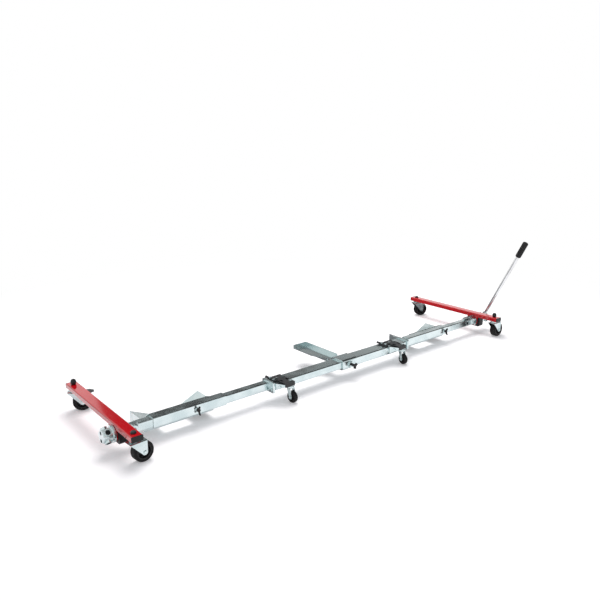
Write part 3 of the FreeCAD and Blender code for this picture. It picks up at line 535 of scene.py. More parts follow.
class Shape:
    """A closed form in its own axes, in metres, ready to be set into a piece."""

    def __init__(self) -> None:
        """Starts an empty form."""
        self.mesh = bmesh.new()

    @classmethod
    def copied(cls, node: str, edge: float) -> "Shape":
        """A merged copy of a CAD node with its edges rounded.

        Args:
            node: The CAD node's name.
            edge: Width of the edge rounding.

        Returns:
            The form, in the row frame.
        """
        shape = cls()
        mesh = shape.mesh
        mesh.from_mesh(frame["nodes"][node].data)
        bmesh.ops.remove_doubles(mesh, verts=mesh.verts, dist=MERGE_DISTANCE)
        bmesh.ops.dissolve_limit(mesh, angle_limit=FLAT_ANGLE, verts=mesh.verts, edges=mesh.edges)
        return shape.soften(edge)

    @classmethod
    def turned(cls, corners: Sequence[Corner], closed: bool = False, steps: int = TURN_STEPS) -> "Shape":
        """A profile spun about Z.

        Args:
            corners: Radius, height and rounding of each corner.
            closed: Whether the profile is a ring clear of the axis.
            steps: Sides of the round.

        Returns:
            The spun form.
        """
        shape = cls()
        shape.line(corners, closed, lambda radius, height: (radius, 0.0, height))
        mesh = shape.mesh
        bmesh.ops.spin(mesh, geom=mesh.verts[:] + mesh.edges[:], cent=(0, 0, 0), axis=UP,
                       angle=math.tau, steps=steps, use_merge=True)
        bmesh.ops.remove_doubles(mesh, verts=mesh.verts, dist=MERGE_DISTANCE)
        bmesh.ops.recalc_face_normals(mesh, faces=mesh.faces)
        return shape

    @classmethod
    def rod(cls, radius: float, ends: Span, rounding: Span = (0, 0), steps: int = TURN_STEPS) -> "Shape":
        """A round rod along Z, with a rounding for each end."""
        rims = [(radius, end, corner) for end, corner in zip(ends, rounding)]
        return cls.turned([(0, ends[0], 0), *rims, (0, ends[1], 0)], steps=steps)

    @classmethod
    def ring(cls, half: Sequence[Corner], steps: int = TURN_STEPS) -> "Shape":
        """A ring spun from half a profile and its mirror image below."""
        lower = [(radius, -height, rounding) for radius, height, rounding in half]
        return cls.turned([*lower, *half[::-1]], closed=True, steps=steps)

    @classmethod
    def slab(cls, corners: Sequence[Corner], depth: float, edge: float) -> "Shape":
        """A flat outline raised along Z.

        Args:
            corners: X, Y and rounding of each corner.
            depth: Height of the slab.
            edge: Width of the edge rounding.

        Returns:
            The raised form.
        """
        shape = cls()
        shape.line(corners, True, lambda x, y: (x, y, 0.0))
        mesh = shape.mesh
        bmesh.ops.edgeloop_fill(mesh, edges=mesh.edges)
        grown = bmesh.ops.extrude_face_region(mesh, geom=mesh.faces[:])["geom"]
        lifted = [one for one in grown if isinstance(one, bmesh.types.BMVert)]
        bmesh.ops.translate(mesh, verts=lifted, vec=(0, 0, depth))
        bmesh.ops.recalc_face_normals(mesh, faces=mesh.faces)
        return shape.soften(edge)

    @classmethod
    def brick(cls, size: Sequence[float], edge: float) -> "Shape":
        """A box about its middle with rounded edges.

        Args:
            size: Its three sizes.
            edge: Width of the edge rounding.

        Returns:
            The box.
        """
        shape = cls()
        bmesh.ops.create_cube(shape.mesh, matrix=Matrix.Diagonal((*size, 1.0)))
        return shape.soften(edge)

    @classmethod
    def hexagon(cls, width: float, height: float, edge: float) -> "Shape":
        """A hexagon bolt head or nut that stands on Z = 0.

        Args:
            width: Size across the flats.
            height: Its height.
            edge: Width of the edge rounding.

        Returns:
            The head.
        """
        radius = width / math.sqrt(3)
        turns = [math.tau * step / 6 for step in range(6)]
        corners = [(radius * math.cos(turn), radius * math.sin(turn), 0.0) for turn in turns]
        return cls.slab(corners, height, edge)

    @classmethod
    def bead(cls, start: Vector, end: Vector, radius: float, free: float = 0.0) -> "Shape":
        """A weld bead of even ripples between two points.

        Args:
            start: Where the seam starts.
            end: Where it ends.
            radius: The bead's size at the swell of a ripple.
            free: Share of the seam that stays free at each end.

        Returns:
            The bead, in the row frame.
        """
        shape = cls()
        mesh = shape.mesh
        start, end = start.lerp(end, free), start.lerp(end, 1 - free)
        run = end - start
        ripples = max(BEAD_LEAST, round(run.length / (radius * BEAD_PITCH)))
        pitch = run.length / (2 * ripples)
        bmesh.ops.create_circle(mesh, cap_ends=True, segments=BEAD_SIDES, radius=radius / BEAD_SWELL)
        rim = mesh.edges[:]
        for step in range(2 * ripples):
            grown = bmesh.ops.extrude_edge_only(mesh, edges=rim)["geom"]
            rim = [one for one in grown if isinstance(one, bmesh.types.BMEdge)]
            ring = [one for one in grown if isinstance(one, bmesh.types.BMVert)]
            bmesh.ops.translate(mesh, verts=ring, vec=(0, 0, pitch))
            size = BEAD_SWELL if step % 2 == 0 else 1 / BEAD_SWELL
            bmesh.ops.scale(mesh, verts=ring, vec=(size, size, 1))
        bmesh.ops.edgeloop_fill(mesh, edges=rim)
        bmesh.ops.recalc_face_normals(mesh, faces=mesh.faces)
        return shape.set(Matrix.Translation(start) @ run.to_track_quat("Z", "Y").to_matrix().to_4x4())

    @classmethod
    def folded(cls, corners: Sequence[Corner], length: Span) -> "Shape":
        """A thin sheet folded across X, not yet thickened.

        Args:
            corners: Y, Z and rounding of each fold.
            length: Where the sheet starts and ends along X.

        Returns:
            The open sheet.
        """
        shape = cls()
        shape.line(corners, False, lambda y, z: (length[0], y, z))
        mesh = shape.mesh
        grown = bmesh.ops.extrude_edge_only(mesh, edges=mesh.edges[:])["geom"]
        lifted = [one for one in grown if isinstance(one, bmesh.types.BMVert)]
        bmesh.ops.translate(mesh, verts=lifted, vec=(length[1] - length[0], 0, 0))
        return shape

    def line(self, corners: Sequence[Corner], closed: bool, lift: Callable) -> None:
        """Lays a line through corners and rounds them.

        Args:
            corners: Two places and a rounding for each corner.
            closed: Whether the line returns to its start.
            lift: Turns the two places into a point.
        """
        verts = [self.mesh.verts.new(lift(u, v)) for u, v, _ in corners]
        nexts = verts[1:] + verts[:1] if closed else verts[1:]
        for start, end in zip(verts, nexts):
            self.mesh.edges.new((start, end))
        for vert, (_, _, rounding) in zip(verts, corners):
            if rounding:
                bmesh.ops.bevel(self.mesh, geom=[vert], offset=rounding, offset_type="OFFSET",
                                segments=CORNER_STEPS, profile=0.5, affect="VERTICES", material=-1)

    def trim(self, point: Vector, outward: Vector) -> None:
        """Cuts off what lies on the outward side of a plane through a point."""
        geom = self.mesh.verts[:] + self.mesh.edges[:] + self.mesh.faces[:]
        bmesh.ops.bisect_plane(self.mesh, geom=geom, plane_co=point, plane_no=outward, clear_outer=True)

    def thicken(self, thickness: float) -> "Shape":
        """Gives an open sheet its thickness.

        Args:
            thickness: How far the sheet grows inward from its upper side.

        Returns:
            The form itself.
        """
        mesh = self.mesh
        bmesh.ops.recalc_face_normals(mesh, faces=mesh.faces)
        if max(mesh.faces, key=lambda face: face.calc_center_median().z).normal.z < 0:
            bmesh.ops.reverse_faces(mesh, faces=mesh.faces)
        bmesh.ops.solidify(mesh, geom=mesh.faces[:], thickness=thickness)
        bmesh.ops.recalc_face_normals(mesh, faces=mesh.faces)
        return self

    def soften(self, edge: float) -> "Shape":
        """Rounds the sharp edges.

        Args:
            edge: Width of the rounding.

        Returns:
            The form itself.
        """
        sharp = [line for line in self.mesh.edges
                 if line.is_manifold and line.calc_face_angle() > EDGE_ANGLE]
        bmesh.ops.bevel(self.mesh, geom=sharp, offset=edge, offset_type="OFFSET", segments=EDGE_STEPS,
                        profile=0.5, affect="EDGES", material=-1, clamp_overlap=True)
        return self

    def set(self, place: Matrix) -> "Shape":
        """Moves the form to a place and returns the form itself."""
        bmesh.ops.transform(self.mesh, matrix=place, verts=self.mesh.verts)
        return self


class Workshop:
    """Turns forms into the dolly's named pieces, dressed and set on their bodies."""

    def __init__(self, finishes: Sequence[Finish]) -> None:
        """Makes the materials and dresses every CAD node.

        Args:
            finishes: One finish for each slot.
        """
        effects = Effects()
        self.materials = {finish.slot: finish.material(effects) for finish in finishes}
        self.joints = {joint["name"]: joint for joint in frame["joints"]}
        groups = frame["record"]["behaviour"]["bodies"]
        self.bodies = {node: body for body, nodes in groups.items() for node in nodes}
        self.slots = {row["node"]: Slot(row["material_slot"]) for row in frame["record"]["subparts"]}
        for name, node in frame["nodes"].items():
            node.data.materials.clear()
            node.data.materials.append(self.materials[self.slots[name]])

    def place_of(self, joint: str) -> Vector:
        """A joint's place in the row frame."""
        return Vector(self.joints[joint]["pos_m"])

    def refine(self, node: str, edge: float, *more: Shape) -> None:
        """Stands a copy with rounded edges, and further forms, in for a CAD node."""
        self.make(node, [Shape.copied(node, edge), *more])

    def make(self, node: str, shapes: Sequence[Shape], place: Matrix = Matrix()) -> None:
        """Stands modelled forms, set to a place, in for a CAD node."""
        placed = [shape.set(place) for shape in shapes]
        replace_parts(self.add(node + "_look", self.bodies[node], self.slots[node], placed), node)

    def add(self, name: str, body: str, slot: Slot, shapes: Sequence[Shape]) -> bpy.types.Object:
        """Adds a piece of its own.

        Args:
            name: The piece's name.
            body: The body that it rides on.
            slot: The slot of its finish.
            shapes: The forms of the piece.

        Returns:
            The new piece.
        """
        data = bpy.data.meshes.new(name)
        whole = bmesh.new()
        for shape in shapes:
            shape.mesh.to_mesh(data)
            shape.mesh.free()
            whole.from_mesh(data)
        for face in whole.faces:
            face.smooth = True
        for line in whole.edges:
            line.smooth = line.is_manifold and line.calc_face_angle() < SHARP_ANGLE
        whole.to_mesh(data)
        whole.free()
        data.materials.append(self.materials[slot])
        piece = bpy.data.objects.new(name, data)
        bpy.context.scene.collection.objects.link(piece)
        shading = piece.modifiers.new("Even shading", "WEIGHTED_NORMAL")
        shading.keep_sharp = True
        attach(piece, body)
        LOG.info("%s: %d faces on %s", name, len(data.polygons), body)
        return piece


@dataclass
class Castor:
    """A swivel castor: pressed fork, axle bolt and wheel.

    Attributes:
        name: Start of its nodes' names.
        wheel_radius: Radius of the tread.
        wheel_width: Width of the wheel.
        foot_radius: Radius of the fork's feet.
        tyre_depth: Depth of a separate tyre, 0 for a one-piece wheel.
        core_inset: How far the wheel's core stays inside its width.
        rim_depth: Depth of the core's rim.
        rim_round: Rounding of the core's outer edges.
        axle_spare: Extra axle length for a pedal's cheeks.
        back_turn: Slope of the fork's back edge, as the turn of its normal from straight down.
        front_turn: Slope of the fork's front edge, in the same way.
        fork_reach: How far the fork's top reaches each way from the stem.
    """

    name: str
    wheel_radius: float = 0.0435
    wheel_width: float = 0.038
    foot_radius: float = 0.012
    tyre_depth: float = 0.011
    core_inset: float = 0.0015
    rim_depth: float = 0.005
    rim_round: float = 0.0008
    axle_spare: float = 0.0
    back_turn: float = -47.8
    front_turn: float = 89.0
    fork_reach: Span = (0.034, 0.046)
    fork_top: float = 0.094
    sheet: float = 0.0025
    side_gap: float = 0.0015
    fold: float = 0.005
    plan_clip: float = 0.007
    foot_steps: int = 12
    cup_radius: float = 0.017
    cup_rise: float = 0.0025
    cup_edge: float = 0.001
    bolt_width: float = 0.013
    bolt_height: float = 0.004
    washer_radius: float = 0.0085
    washer_height: float = 0.0012
    washer_edge: float = 0.0004
    boss_radius: float = 0.009
    boss_gap: float = 0.0003
    boss_edge: float = 0.0008
    bore_radius: float = 0.00405
    web_half: float = 0.004
    web_fillet: float = 0.0012
    rib_count: int = 6
    rib_width: float = 0.0022
    rib_share: float = 1.5
    rib_sink: float = 0.001
    tyre_gap: float = 0.00005
    tyre_shoulder: float = 0.006
    tyre_steps: int = 96
    bead_width: float = 0.0025
    bead_step: float = 0.0008
    bead_edge: float = 0.0003
    edge: float = 0.0006

    def build(self, shop: Workshop) -> None:
        """Builds the castor's pieces.

        Args:
            shop: The workshop that dresses them.
        """
        swivel = shop.place_of(self.name + "_swivel_turn")
        trail = shop.place_of(self.name + "_roll") - swivel
        trail.z = 0
        place = frame_of(swivel, trail.normalized(), UP)
        axle = Vector((trail.length, 0, self.wheel_radius))
        lying = place @ Matrix.Translation(axle) @ Matrix.Rotation(math.radians(-90), 4, "X")
        shop.make(self.name + "_fork", self.fork(axle), place)
        shop.make(self.name + "_axle", self.axle(), lying)
        shop.make(self.name + ("_wheel_core" if self.tyre_depth else "_wheel"), self.body(), lying)
        if self.tyre_depth:
            shop.make(self.name + "_tyre", [self.tyre()], lying)

    def half_inside(self) -> float:
        """Half the room between the fork's legs."""
        return self.wheel_width / 2 + self.side_gap

    def fork(self, axle: Vector) -> list[Shape]:
        """The pressed fork about the stem, trailing along X.

        Args:
            axle: The wheel's centre from the foot of the stem.

        Returns:
            The folded plate and the cup on its top.
        """
        half = self.half_inside() + self.sheet
        low = self.wheel_radius - self.foot_radius - self.sheet
        corners = [(-half, low, 0), (-half, self.fork_top, self.fold),
                   (half, self.fork_top, self.fold), (half, low, 0)]
        far = axle.x + self.foot_radius + self.sheet
        plate = Shape.folded(corners, (-self.fork_reach[0], max(far, self.fork_reach[1])))
        for step in range(self.foot_steps + 1):
            share = step / self.foot_steps
            turn = math.radians(self.back_turn + (self.front_turn - self.back_turn) * share)
            outward = Vector((math.sin(turn), 0, -math.cos(turn)))
            plate.trim(axle + outward * self.foot_radius, outward)
        for side in (-1, 1):
            for reach, way in zip(self.fork_reach, (-1, 1)):
                if way * reach < axle.x:
                    corner = Vector((way * reach, side * (half - self.plan_clip), 0))
                    plate.trim(corner, Vector((way, side, 0)).normalized())
        plate.thicken(self.sheet).soften(self.edge)
        cup_ends = (self.fork_top - self.sheet, self.fork_top + self.cup_rise)
        return [plate, Shape.rod(self.cup_radius, cup_ends, (0, self.cup_edge))]

    def axle(self) -> list[Shape]:
        """The axle bolt about the wheel's centre, along Z.

        Returns:
            The shank, and a washer and hexagon at each end.
        """
        face = self.half_inside() + self.sheet + self.axle_spare
        shapes = [Shape.rod(self.bore_radius, (-face, face), steps=ROD_STEPS)]
        for turn in (0, math.pi):
            flip = Matrix.Rotation(turn, 4, "X") @ Matrix.Translation((0, 0, face))
            washer = Shape.rod(self.washer_radius, (0, self.washer_height), (0, self.washer_edge),
                               steps=DISC_STEPS)
            head = Shape.hexagon(self.bolt_width, self.bolt_height, self.edge)
            shapes += [washer.set(flip), head.set(flip)]
        return shapes

    def body(self) -> list[Shape]:
        """The wheel's core, or the whole one-piece wheel, along Z.

        Returns:
            The boss, web and rim in one, and the radial ribs.
        """
        radius = self.wheel_radius - self.tyre_depth
        rim = radius - self.rim_depth
        half = self.wheel_width / 2 - self.core_inset
        boss = self.half_inside() - self.boss_gap
        shapes = [Shape.ring([
            (self.bore_radius, boss, 0), (self.boss_radius, boss, self.boss_edge),
            (self.boss_radius, self.web_half, self.web_fillet), (rim, self.web_half, self.web_fillet),
            (rim, half, self.boss_edge), (radius, half, self.rim_round)])]
        start, end = self.boss_radius - self.rib_width / 2, rim + self.rib_sink
        for step in range(self.rib_count):
            rib = Shape.brick((end - start, self.rib_width, self.rib_share * half), self.edge)
            turn = Matrix.Rotation(math.tau * step / self.rib_count, 4, "Z")
            shapes.append(rib.set(turn @ Matrix.Translation(((end + start) / 2, 0, 0))))
        return shapes

    def tyre(self) -> Shape:
        """The tyre along Z.

        Returns:
            A ring with rounded shoulders and a bead line on each side.
        """
        inside = self.wheel_radius - self.tyre_depth + self.tyre_gap
        half = self.wheel_width / 2
        bead = inside + self.bead_width
        return Shape.ring([
            (inside, half - self.bead_step, 0), (bead, half - self.bead_step, 0),
            (bead + self.bead_step, half, self.bead_edge),
            (self.wheel_radius, half, self.tyre_shoulder)], steps=self.tyre_steps)


@dataclass
class EndBeam:
    """A red end beam with its welds, caps, bearing and stem knob.

    Attributes:
        end: Which end of the dolly it is.
        tube_height: Height of its tube, without the bearing cheeks below.
        cheeks: How far the cheeks reach from the rail to the near and the far side.
        knob_dome: Rounding of the knob's top, as a share of its radius.
    """

    end: End
    tube_height: float = 0.025
    cheeks: Span = (0.030, 0.044)
    weld_radius: float = 0.0026
    weld_sink: float = 0.0012
    cap_flange: float = 0.004
    cap_corner: float = 0.003
    cap_edge: float = 0.0012
    plug_length: float = 0.014
    plug_wall: float = 0.0031
    knob_radius: float = 0.0125
    knob_height: float = 0.026
    knob_foot: float = 0.0095
    knob_skirt: float = 0.006
    knob_edges: Span = (0.001, 0.002)
    knob_dome: float = 0.96
    knob_gap: float = 0.0003
    edge: float = 0.0006

    def build(self, shop: Workshop) -> None:
        """Builds the beam's pieces.

        Args:
            shop: The workshop that dresses them.
        """
        name = self.end.value
        low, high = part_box(name + "_beam")
        shop.refine(name + "_beam", self.edge, *self.welds(shop.place_of("frame_lift").y, low, high))
        shop.make(name + "_beam_end_caps", list(self.caps(low, high)))
        for node in ("_bearing_block", "_castor_stems", "_stem_nut"):
            shop.refine(name + node, self.edge)
        knob = shop.place_of(name + "_knob_turn") + UP * self.knob_gap
        shop.make(name + "_stem_knob", [self.knob()], Matrix.Translation(knob))

    def welds(self, rail: float, low: Vector, high: Vector) -> Iterator[Shape]:
        """The beads where the cheeks meet the tube.

        Args:
            rail: The rail's place along the beam.
            low: Lowest corner of the beam.
            high: Highest corner of the beam.

        Yields:
            One bead for each outer side.
        """
        height = high.z - self.tube_height + self.weld_sink
        for side in (low.x + self.weld_sink, high.x - self.weld_sink):
            start = Vector((side, rail - self.cheeks[0], height))
            yield Shape.bead(start, Vector((side, rail + self.cheeks[1], height)), self.weld_radius)

    def caps(self, low: Vector, high: Vector) -> Iterator[Shape]:
        """The two moulded caps.

        Args:
            low: Lowest corner of the beam.
            high: Highest corner of the beam.

        Yields:
            A flange and a plug for each end.
        """
        half = (high.x - low.x) / 2
        rise = self.tube_height / 2
        signs = ((-1, -1), (1, -1), (1, 1), (-1, 1))
        outline = [(x * half, y * rise, self.cap_corner) for x, y in signs]
        size = (2 * (half - self.plug_wall), 2 * (rise - self.plug_wall), self.plug_length)
        for face, out in ((low.y, -1), (high.y, 1)):
            middle = Vector(((low.x + high.x) / 2, face, high.z - rise))
            place = frame_of(middle, ALONG, ACROSS * out)
            yield Shape.slab(outline, self.cap_flange, self.cap_edge).set(place)
            inside = place @ Matrix.Translation((0, 0, -self.plug_length / 2))
            yield Shape.brick(size, self.edge).set(inside)

    def knob(self) -> Shape:
        """A domed knob.

        Returns:
            The knob, standing on Z = 0.
        """
        radius = self.knob_radius
        foot, skirt = self.knob_edges
        return Shape.turned([
            (0, 0, 0), (self.knob_foot, 0, foot), (radius, self.knob_skirt, skirt),
            (radius, self.knob_height, radius * self.knob_dome), (0, self.knob_height, 0)])


@dataclass
class RailEnd:
    """An end rail with its shaft and lever hub.

    Attributes:
        end: Which end of the dolly it is.
        flange: Thickness of the joint flange.
        half: Half the width of the rail.
        end_hole: How far the hub's end holes lie from its axis.
        plug: Thickness of the dark discs at the bottom of the hub's holes, which paint shade into them.
    """

    end: End
    flange: float = 0.006
    half: float = 0.020
    weld_radius: float = 0.0024
    edge: float = 0.0005
    hub_edge: float = 0.0010
    end_hole: float = 0.0165
    end_hole_radius: float = 0.0078
    end_hole_depth: float = 0.009
    plug: float = 0.0015

    def build(self, shop: Workshop) -> None:
        """Builds the rail end's pieces.

        Args:
            shop: The workshop that dresses them.
        """
        name = self.end.value
        axis = shop.place_of("frame_lift")
        low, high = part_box(name + "_rail")
        rear = self.end is End.REAR
        outer, joint = (low.x, high.x - self.flange) if rear else (high.x, low.x + self.flange)
        shop.refine(name + "_rail", self.edge, *self.welds(axis, joint), *self.welds(axis, outer))
        shop.refine(name + "_shaft", self.edge)
        shop.refine(name + "_hub", self.hub_edge)
        low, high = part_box(name + "_hub")
        axis.x, out = (low.x, -ALONG) if rear else (high.x, ALONG)
        # Black discs deep in the hub's holes are painted shade, not parts of the hub.
        shop.add(name + "_hub_shade_discs", shop.bodies[name + "_hub"], Slot.BLACK_PLASTIC,
                 list(self.shade_discs(axis, out)))

    def shade_discs(self, centre: Vector, out: Vector) -> Iterator[Shape]:
        """Dark discs at the bottom of the hub's holes, painted shade in the holes.

        Args:
            centre: The middle of the hub's end face.
            out: The way that the face looks.

        Yields:
            One dark disc of painted shade for each end hole and each free lever socket.
        """
        for way in (-1, 1):
            floor = centre + UP * way * self.end_hole - out * self.end_hole_depth
            yield self.disc(self.end_hole_radius).set(frame_of(floor, ACROSS, out))
        for mount in frame["record"]["mounts"]:
            if mount["name"].startswith(self.end.value + "_lever_socket"):
                run, sizes = Vector(mount["axis"]), mount["dims"]
                floor = Vector(mount["pos_m"]) - run * (sizes["length_mm"] * MILLIMETRE / 2)
                yield self.disc(sizes["r_mm"] * MILLIMETRE).set(frame_of(floor, ALONG, run))

    def disc(self, radius: float) -> Shape:
        """A dark disc of painted shade that stands on Z = 0."""
        return Shape.rod(radius, (0, self.plug), steps=DISC_STEPS)

    def welds(self, axis: Vector, station: float) -> Iterator[Shape]:
        """Weld beads round the square rail at one station.

        Args:
            axis: A point on the rail's axis.
            station: Where the beads lie along X.

        Yields:
            One bead for each side of the rail.
        """
        centre = Vector((station, axis.y, axis.z))
        inset = self.half - self.weld_radius
        for out, run in ((ACROSS, UP), (-ACROSS, UP), (UP, ACROSS), (-UP, ACROSS)):
            middle = centre + out * self.half
            yield Shape.bead(middle - run * inset, middle + run * inset, self.weld_radius)


@dataclass
class Telescope:
    """The telescoping rails with the collar, outriggers and fasteners."""

    edge: float = 0.0005
    plate_edge: float = 0.0009
    collar_edge: float = 0.0012
    knob_edge: float = 0.0018

    def build(self, shop: Workshop) -> None:
        """Builds the telescope's pieces.

        Args:
            shop: The workshop that dresses them.
        """
        for node in ("inner_rail", "outer_rail"):
            shop.refine(node, self.edge)
        for end in End:
            shop.refine(end.value + "_outrigger", self.plate_edge)
            shop.refine(end.value + "_gusset", self.edge)
            shop.refine(end.value + "_bracket_fasteners", self.edge)
        shop.refine("rail_collar", self.collar_edge)
        shop.refine("star_knob", self.knob_edge)


@dataclass
class Cradle:
    """A wheel cradle with its welds and wing screw.

    Attributes:
        end: Which end of the dolly it is.
        inward: How far the sleeve reaches from the cradle's middle to the dolly's middle.
        weld_share: Share of the prongs' reach that the sleeve's weld runs.
        weld_free: Share of a prong's seam that stays free at each end.
        boss_height: How far the screw's core stands off its joint.
        stud_span: How far the stud reaches below that joint and into the core.
    """

    end: End
    inward: float = 0.212
    sleeve_half: float = 0.0235
    hanger: float = 0.004
    prong_inner: float = 0.070
    prong_outer: float = 0.170
    prong_low: float = 0.034
    prong_high: float = 0.079
    weld_radius: float = 0.0024
    weld_share: float = 0.72
    weld_free: float = 0.03
    edge: float = 0.0008
    boss_height: float = 0.0043
    core_radius: float = 0.008
    core_length: float = 0.013
    core_edges: Span = (0.001, 0.003)
    core_steps: int = 40
    wing_half: float = 0.021
    wing_depth: float = 0.0055
    wing_rise: float = 0.009
    wing_tip: float = 0.011
    wing_root: float = 0.014
    wing_round: float = 0.0035
    wing_edge: float = 0.0018
    stud_radius: float = 0.004
    stud_span: Span = (0.0032, 0.002)
    stud_edge: float = 0.0006

    def build(self, shop: Workshop) -> None:
        """Builds the cradle's pieces.

        Args:
            shop: The workshop that dresses them.
        """
        name = self.end.value
        low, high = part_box(name + "_cradle")
        axis = shop.place_of("frame_lift")
        axis.x = high.x - self.inward if self.end is End.REAR else low.x + self.inward
        shop.refine(name + "_cradle", self.edge, *self.welds(axis))
        place = frame_of(shop.place_of(name + "_wing_turn"), ALONG, -ACROSS)
        shop.make(name + "_wing_screw", self.wing_screw(), place)

    def welds(self, axis: Vector) -> Iterator[Shape]:
        """Beads between sleeve, hanger and prongs.

        Args:
            axis: The point on the rail's axis at the cradle's middle.

        Yields:
            One bead at a time.
        """
        face = axis.y + self.sleeve_half
        sink = self.weld_radius / 2
        top = Vector((axis.x, face - sink, axis.z + self.sleeve_half - sink))
        reach = ALONG * (self.prong_outer * self.weld_share)
        yield Shape.bead(top - reach, top + reach, self.weld_radius)
        back = face + self.hanger
        for side in (-1, 1):
            start = Vector((axis.x + side * self.prong_inner, back, self.prong_low))
            end = Vector((axis.x + side * self.prong_outer, back, self.prong_high))
            yield Shape.bead(start, end, self.weld_radius, self.weld_free)

    def wing_screw(self) -> list[Shape]:
        """The wing screw, pointing out along Z.

        Returns:
            The core, the stud and the two wings.
        """
        seat = self.boss_height
        top = seat + self.core_length
        tip = top + self.wing_rise
        core = Shape.rod(self.core_radius, (seat, top), self.core_edges, self.core_steps)
        ends = (-self.stud_span[0], seat + self.stud_span[1])
        shapes = [core, Shape.rod(self.stud_radius, ends, (self.stud_edge, 0), ROD_STEPS)]
        outline = [(0, top, 0), (self.wing_half, tip, self.wing_round),
                   (self.wing_half, tip - self.wing_tip, self.wing_round), (0, top - self.wing_root, 0)]
        for side in (-1, 1):
            wing = Shape.slab(outline, self.wing_depth, self.wing_edge)
            shift = Vector((-side * self.wing_depth / 2, 0, 0))
            shapes.append(wing.set(frame_of(shift, ACROSS * side, ALONG * side)))
        return shapes


@dataclass
class PropStand:
    """The prop stand's arm and plate.

    Attributes:
        weld_free: Share of each seam that stays free at its ends.
    """

    edge: float = 0.0008
    weld_radius: float = 0.0022
    weld_free: float = 0.06

    def build(self, shop: Workshop) -> None:
        """Builds the stand's pieces.

        Args:
            shop: The workshop that dresses them.
        """
        low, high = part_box("stand_arm")
        sides = ((low.x, low.z), (high.x, low.z), (high.x, high.z), (low.x, high.z))
        corners = [Vector((x, low.y, z)) for x, z in sides]
        welds = [Shape.bead(start, end, self.weld_radius, self.weld_free)
                 for start, end in zip(corners, corners[1:] + corners[:1])]
        shop.refine("stand_arm", self.edge, *welds)
        shop.refine("stand_plate", self.edge)


@dataclass
class Lever:
    """The chromed lever tube with its ribbed grip.

    Attributes:
        foot: Where the tube starts from the rail's axis.
        top: Where the tube ends.
        grip_fit: Gaps between the grip and the tube, round it and at its end.
        grip_corners: Rounding of the grip's lower and upper edge.
        rib_edges: Rounding of a rib's crest and of the groove beside it.
    """

    radius: float = 0.010
    foot: float = 0.013
    top: float = 0.571
    wall: float = 0.0025
    tube_edge: float = 0.0006
    bore_edge: float = 0.0004
    grip_radius: float = 0.017
    grip_start: float = 0.479
    grip_end: float = 0.583
    grip_fit: Span = (0.00005, 0.0001)
    grip_corners: Span = (0.00665, 0.007)
    grip_steps: int = 56
    rib_start: float = 0.492
    rib_pitch: float = 0.0064
    rib_depth: float = 0.0006
    rib_edges: Span = (0.0003, 0.0002)
    rib_count: int = 12

    def build(self, shop: Workshop) -> None:
        """Builds the lever's pieces.

        Args:
            shop: The workshop that dresses them.
        """
        low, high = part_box("lever_tube")
        axis = shop.place_of("frame_lift")
        axis.x = (low.x + high.x) / 2
        place = frame_of(axis, ALONG, Vector(shop.joints["lever_pull"]["axis"]))
        shop.make("lever_tube", [self.tube()], place)
        shop.make("lever_grip", [self.grip()], place)

    def tube(self) -> Shape:
        """The tube along Z.

        Returns:
            A tube that is open at its foot and closed at its top.
        """
        inside = self.radius - self.wall
        return Shape.turned([
            (0, self.top - self.wall, 0), (inside, self.top - self.wall, 0),
            (inside, self.foot, self.bore_edge), (self.radius, self.foot, self.tube_edge),
            (self.radius, self.top, self.tube_edge), (0, self.top, 0)])

    def grip(self) -> Shape:
        """The grip along Z.

        Returns:
            A sleeve with shallow ribs and rounded ends.
        """
        bore, depth = self.radius + self.grip_fit[0], self.top + self.grip_fit[1]
        corners = [(0, depth, 0), (bore, depth, 0), (bore, self.grip_start, 0),
                   (self.grip_radius, self.grip_start, self.grip_corners[0])]
        crest, groove = self.rib_edges
        shallow = self.grip_radius - self.rib_depth
        for step in range(self.rib_count):
            height = self.rib_start + step * self.rib_pitch
            corners += [(self.grip_radius, height, crest),
                        (shallow, height + self.rib_depth, groove),
                        (shallow, height + 2 * self.rib_depth, groove),
                        (self.grip_radius, height + 3 * self.rib_depth, crest)]
        corners += [(self.grip_radius, self.grip_end, self.grip_corners[1]), (0, self.grip_end, 0)]
        return Shape.turned(corners, steps=self.grip_steps)


@dataclass
class Pedal:
    """The black pedal at the far rear castor."""

    edge: float = 0.0006

    def build(self, shop: Workshop) -> None:
        """Builds the pedal in the workshop that dresses it."""
        shop.refine("brake_pedal", self.edge)


@dataclass(frozen=True)
class Lamp:
    """A soft square lamp that mirrors don't show.

    Attributes:
        name: Its name.
        place: Where it hangs.
        size: Length of its sides.
        power: Its power in watts.
        colour: Its colour.
    """

    name: str
    place: tuple[float, float, float]
    size: float
    power: float
    colour: tuple[float, float, float]

    def hang(self, target: Vector) -> None:
        """Hangs the lamp.

        Args:
            target: The point that it faces.
        """
        light = bpy.data.lights.new(self.name, "AREA")
        light.size = self.size
        light.energy = self.power
        light.color = self.colour
        lamp = bpy.data.objects.new(self.name, light)
        lamp.location = self.place
        lamp.rotation_euler = (target - lamp.location).to_track_quat("-Z", "Y").to_euler()
        lamp.visible_glossy = False
        bpy.context.scene.collection.objects.link(lamp)


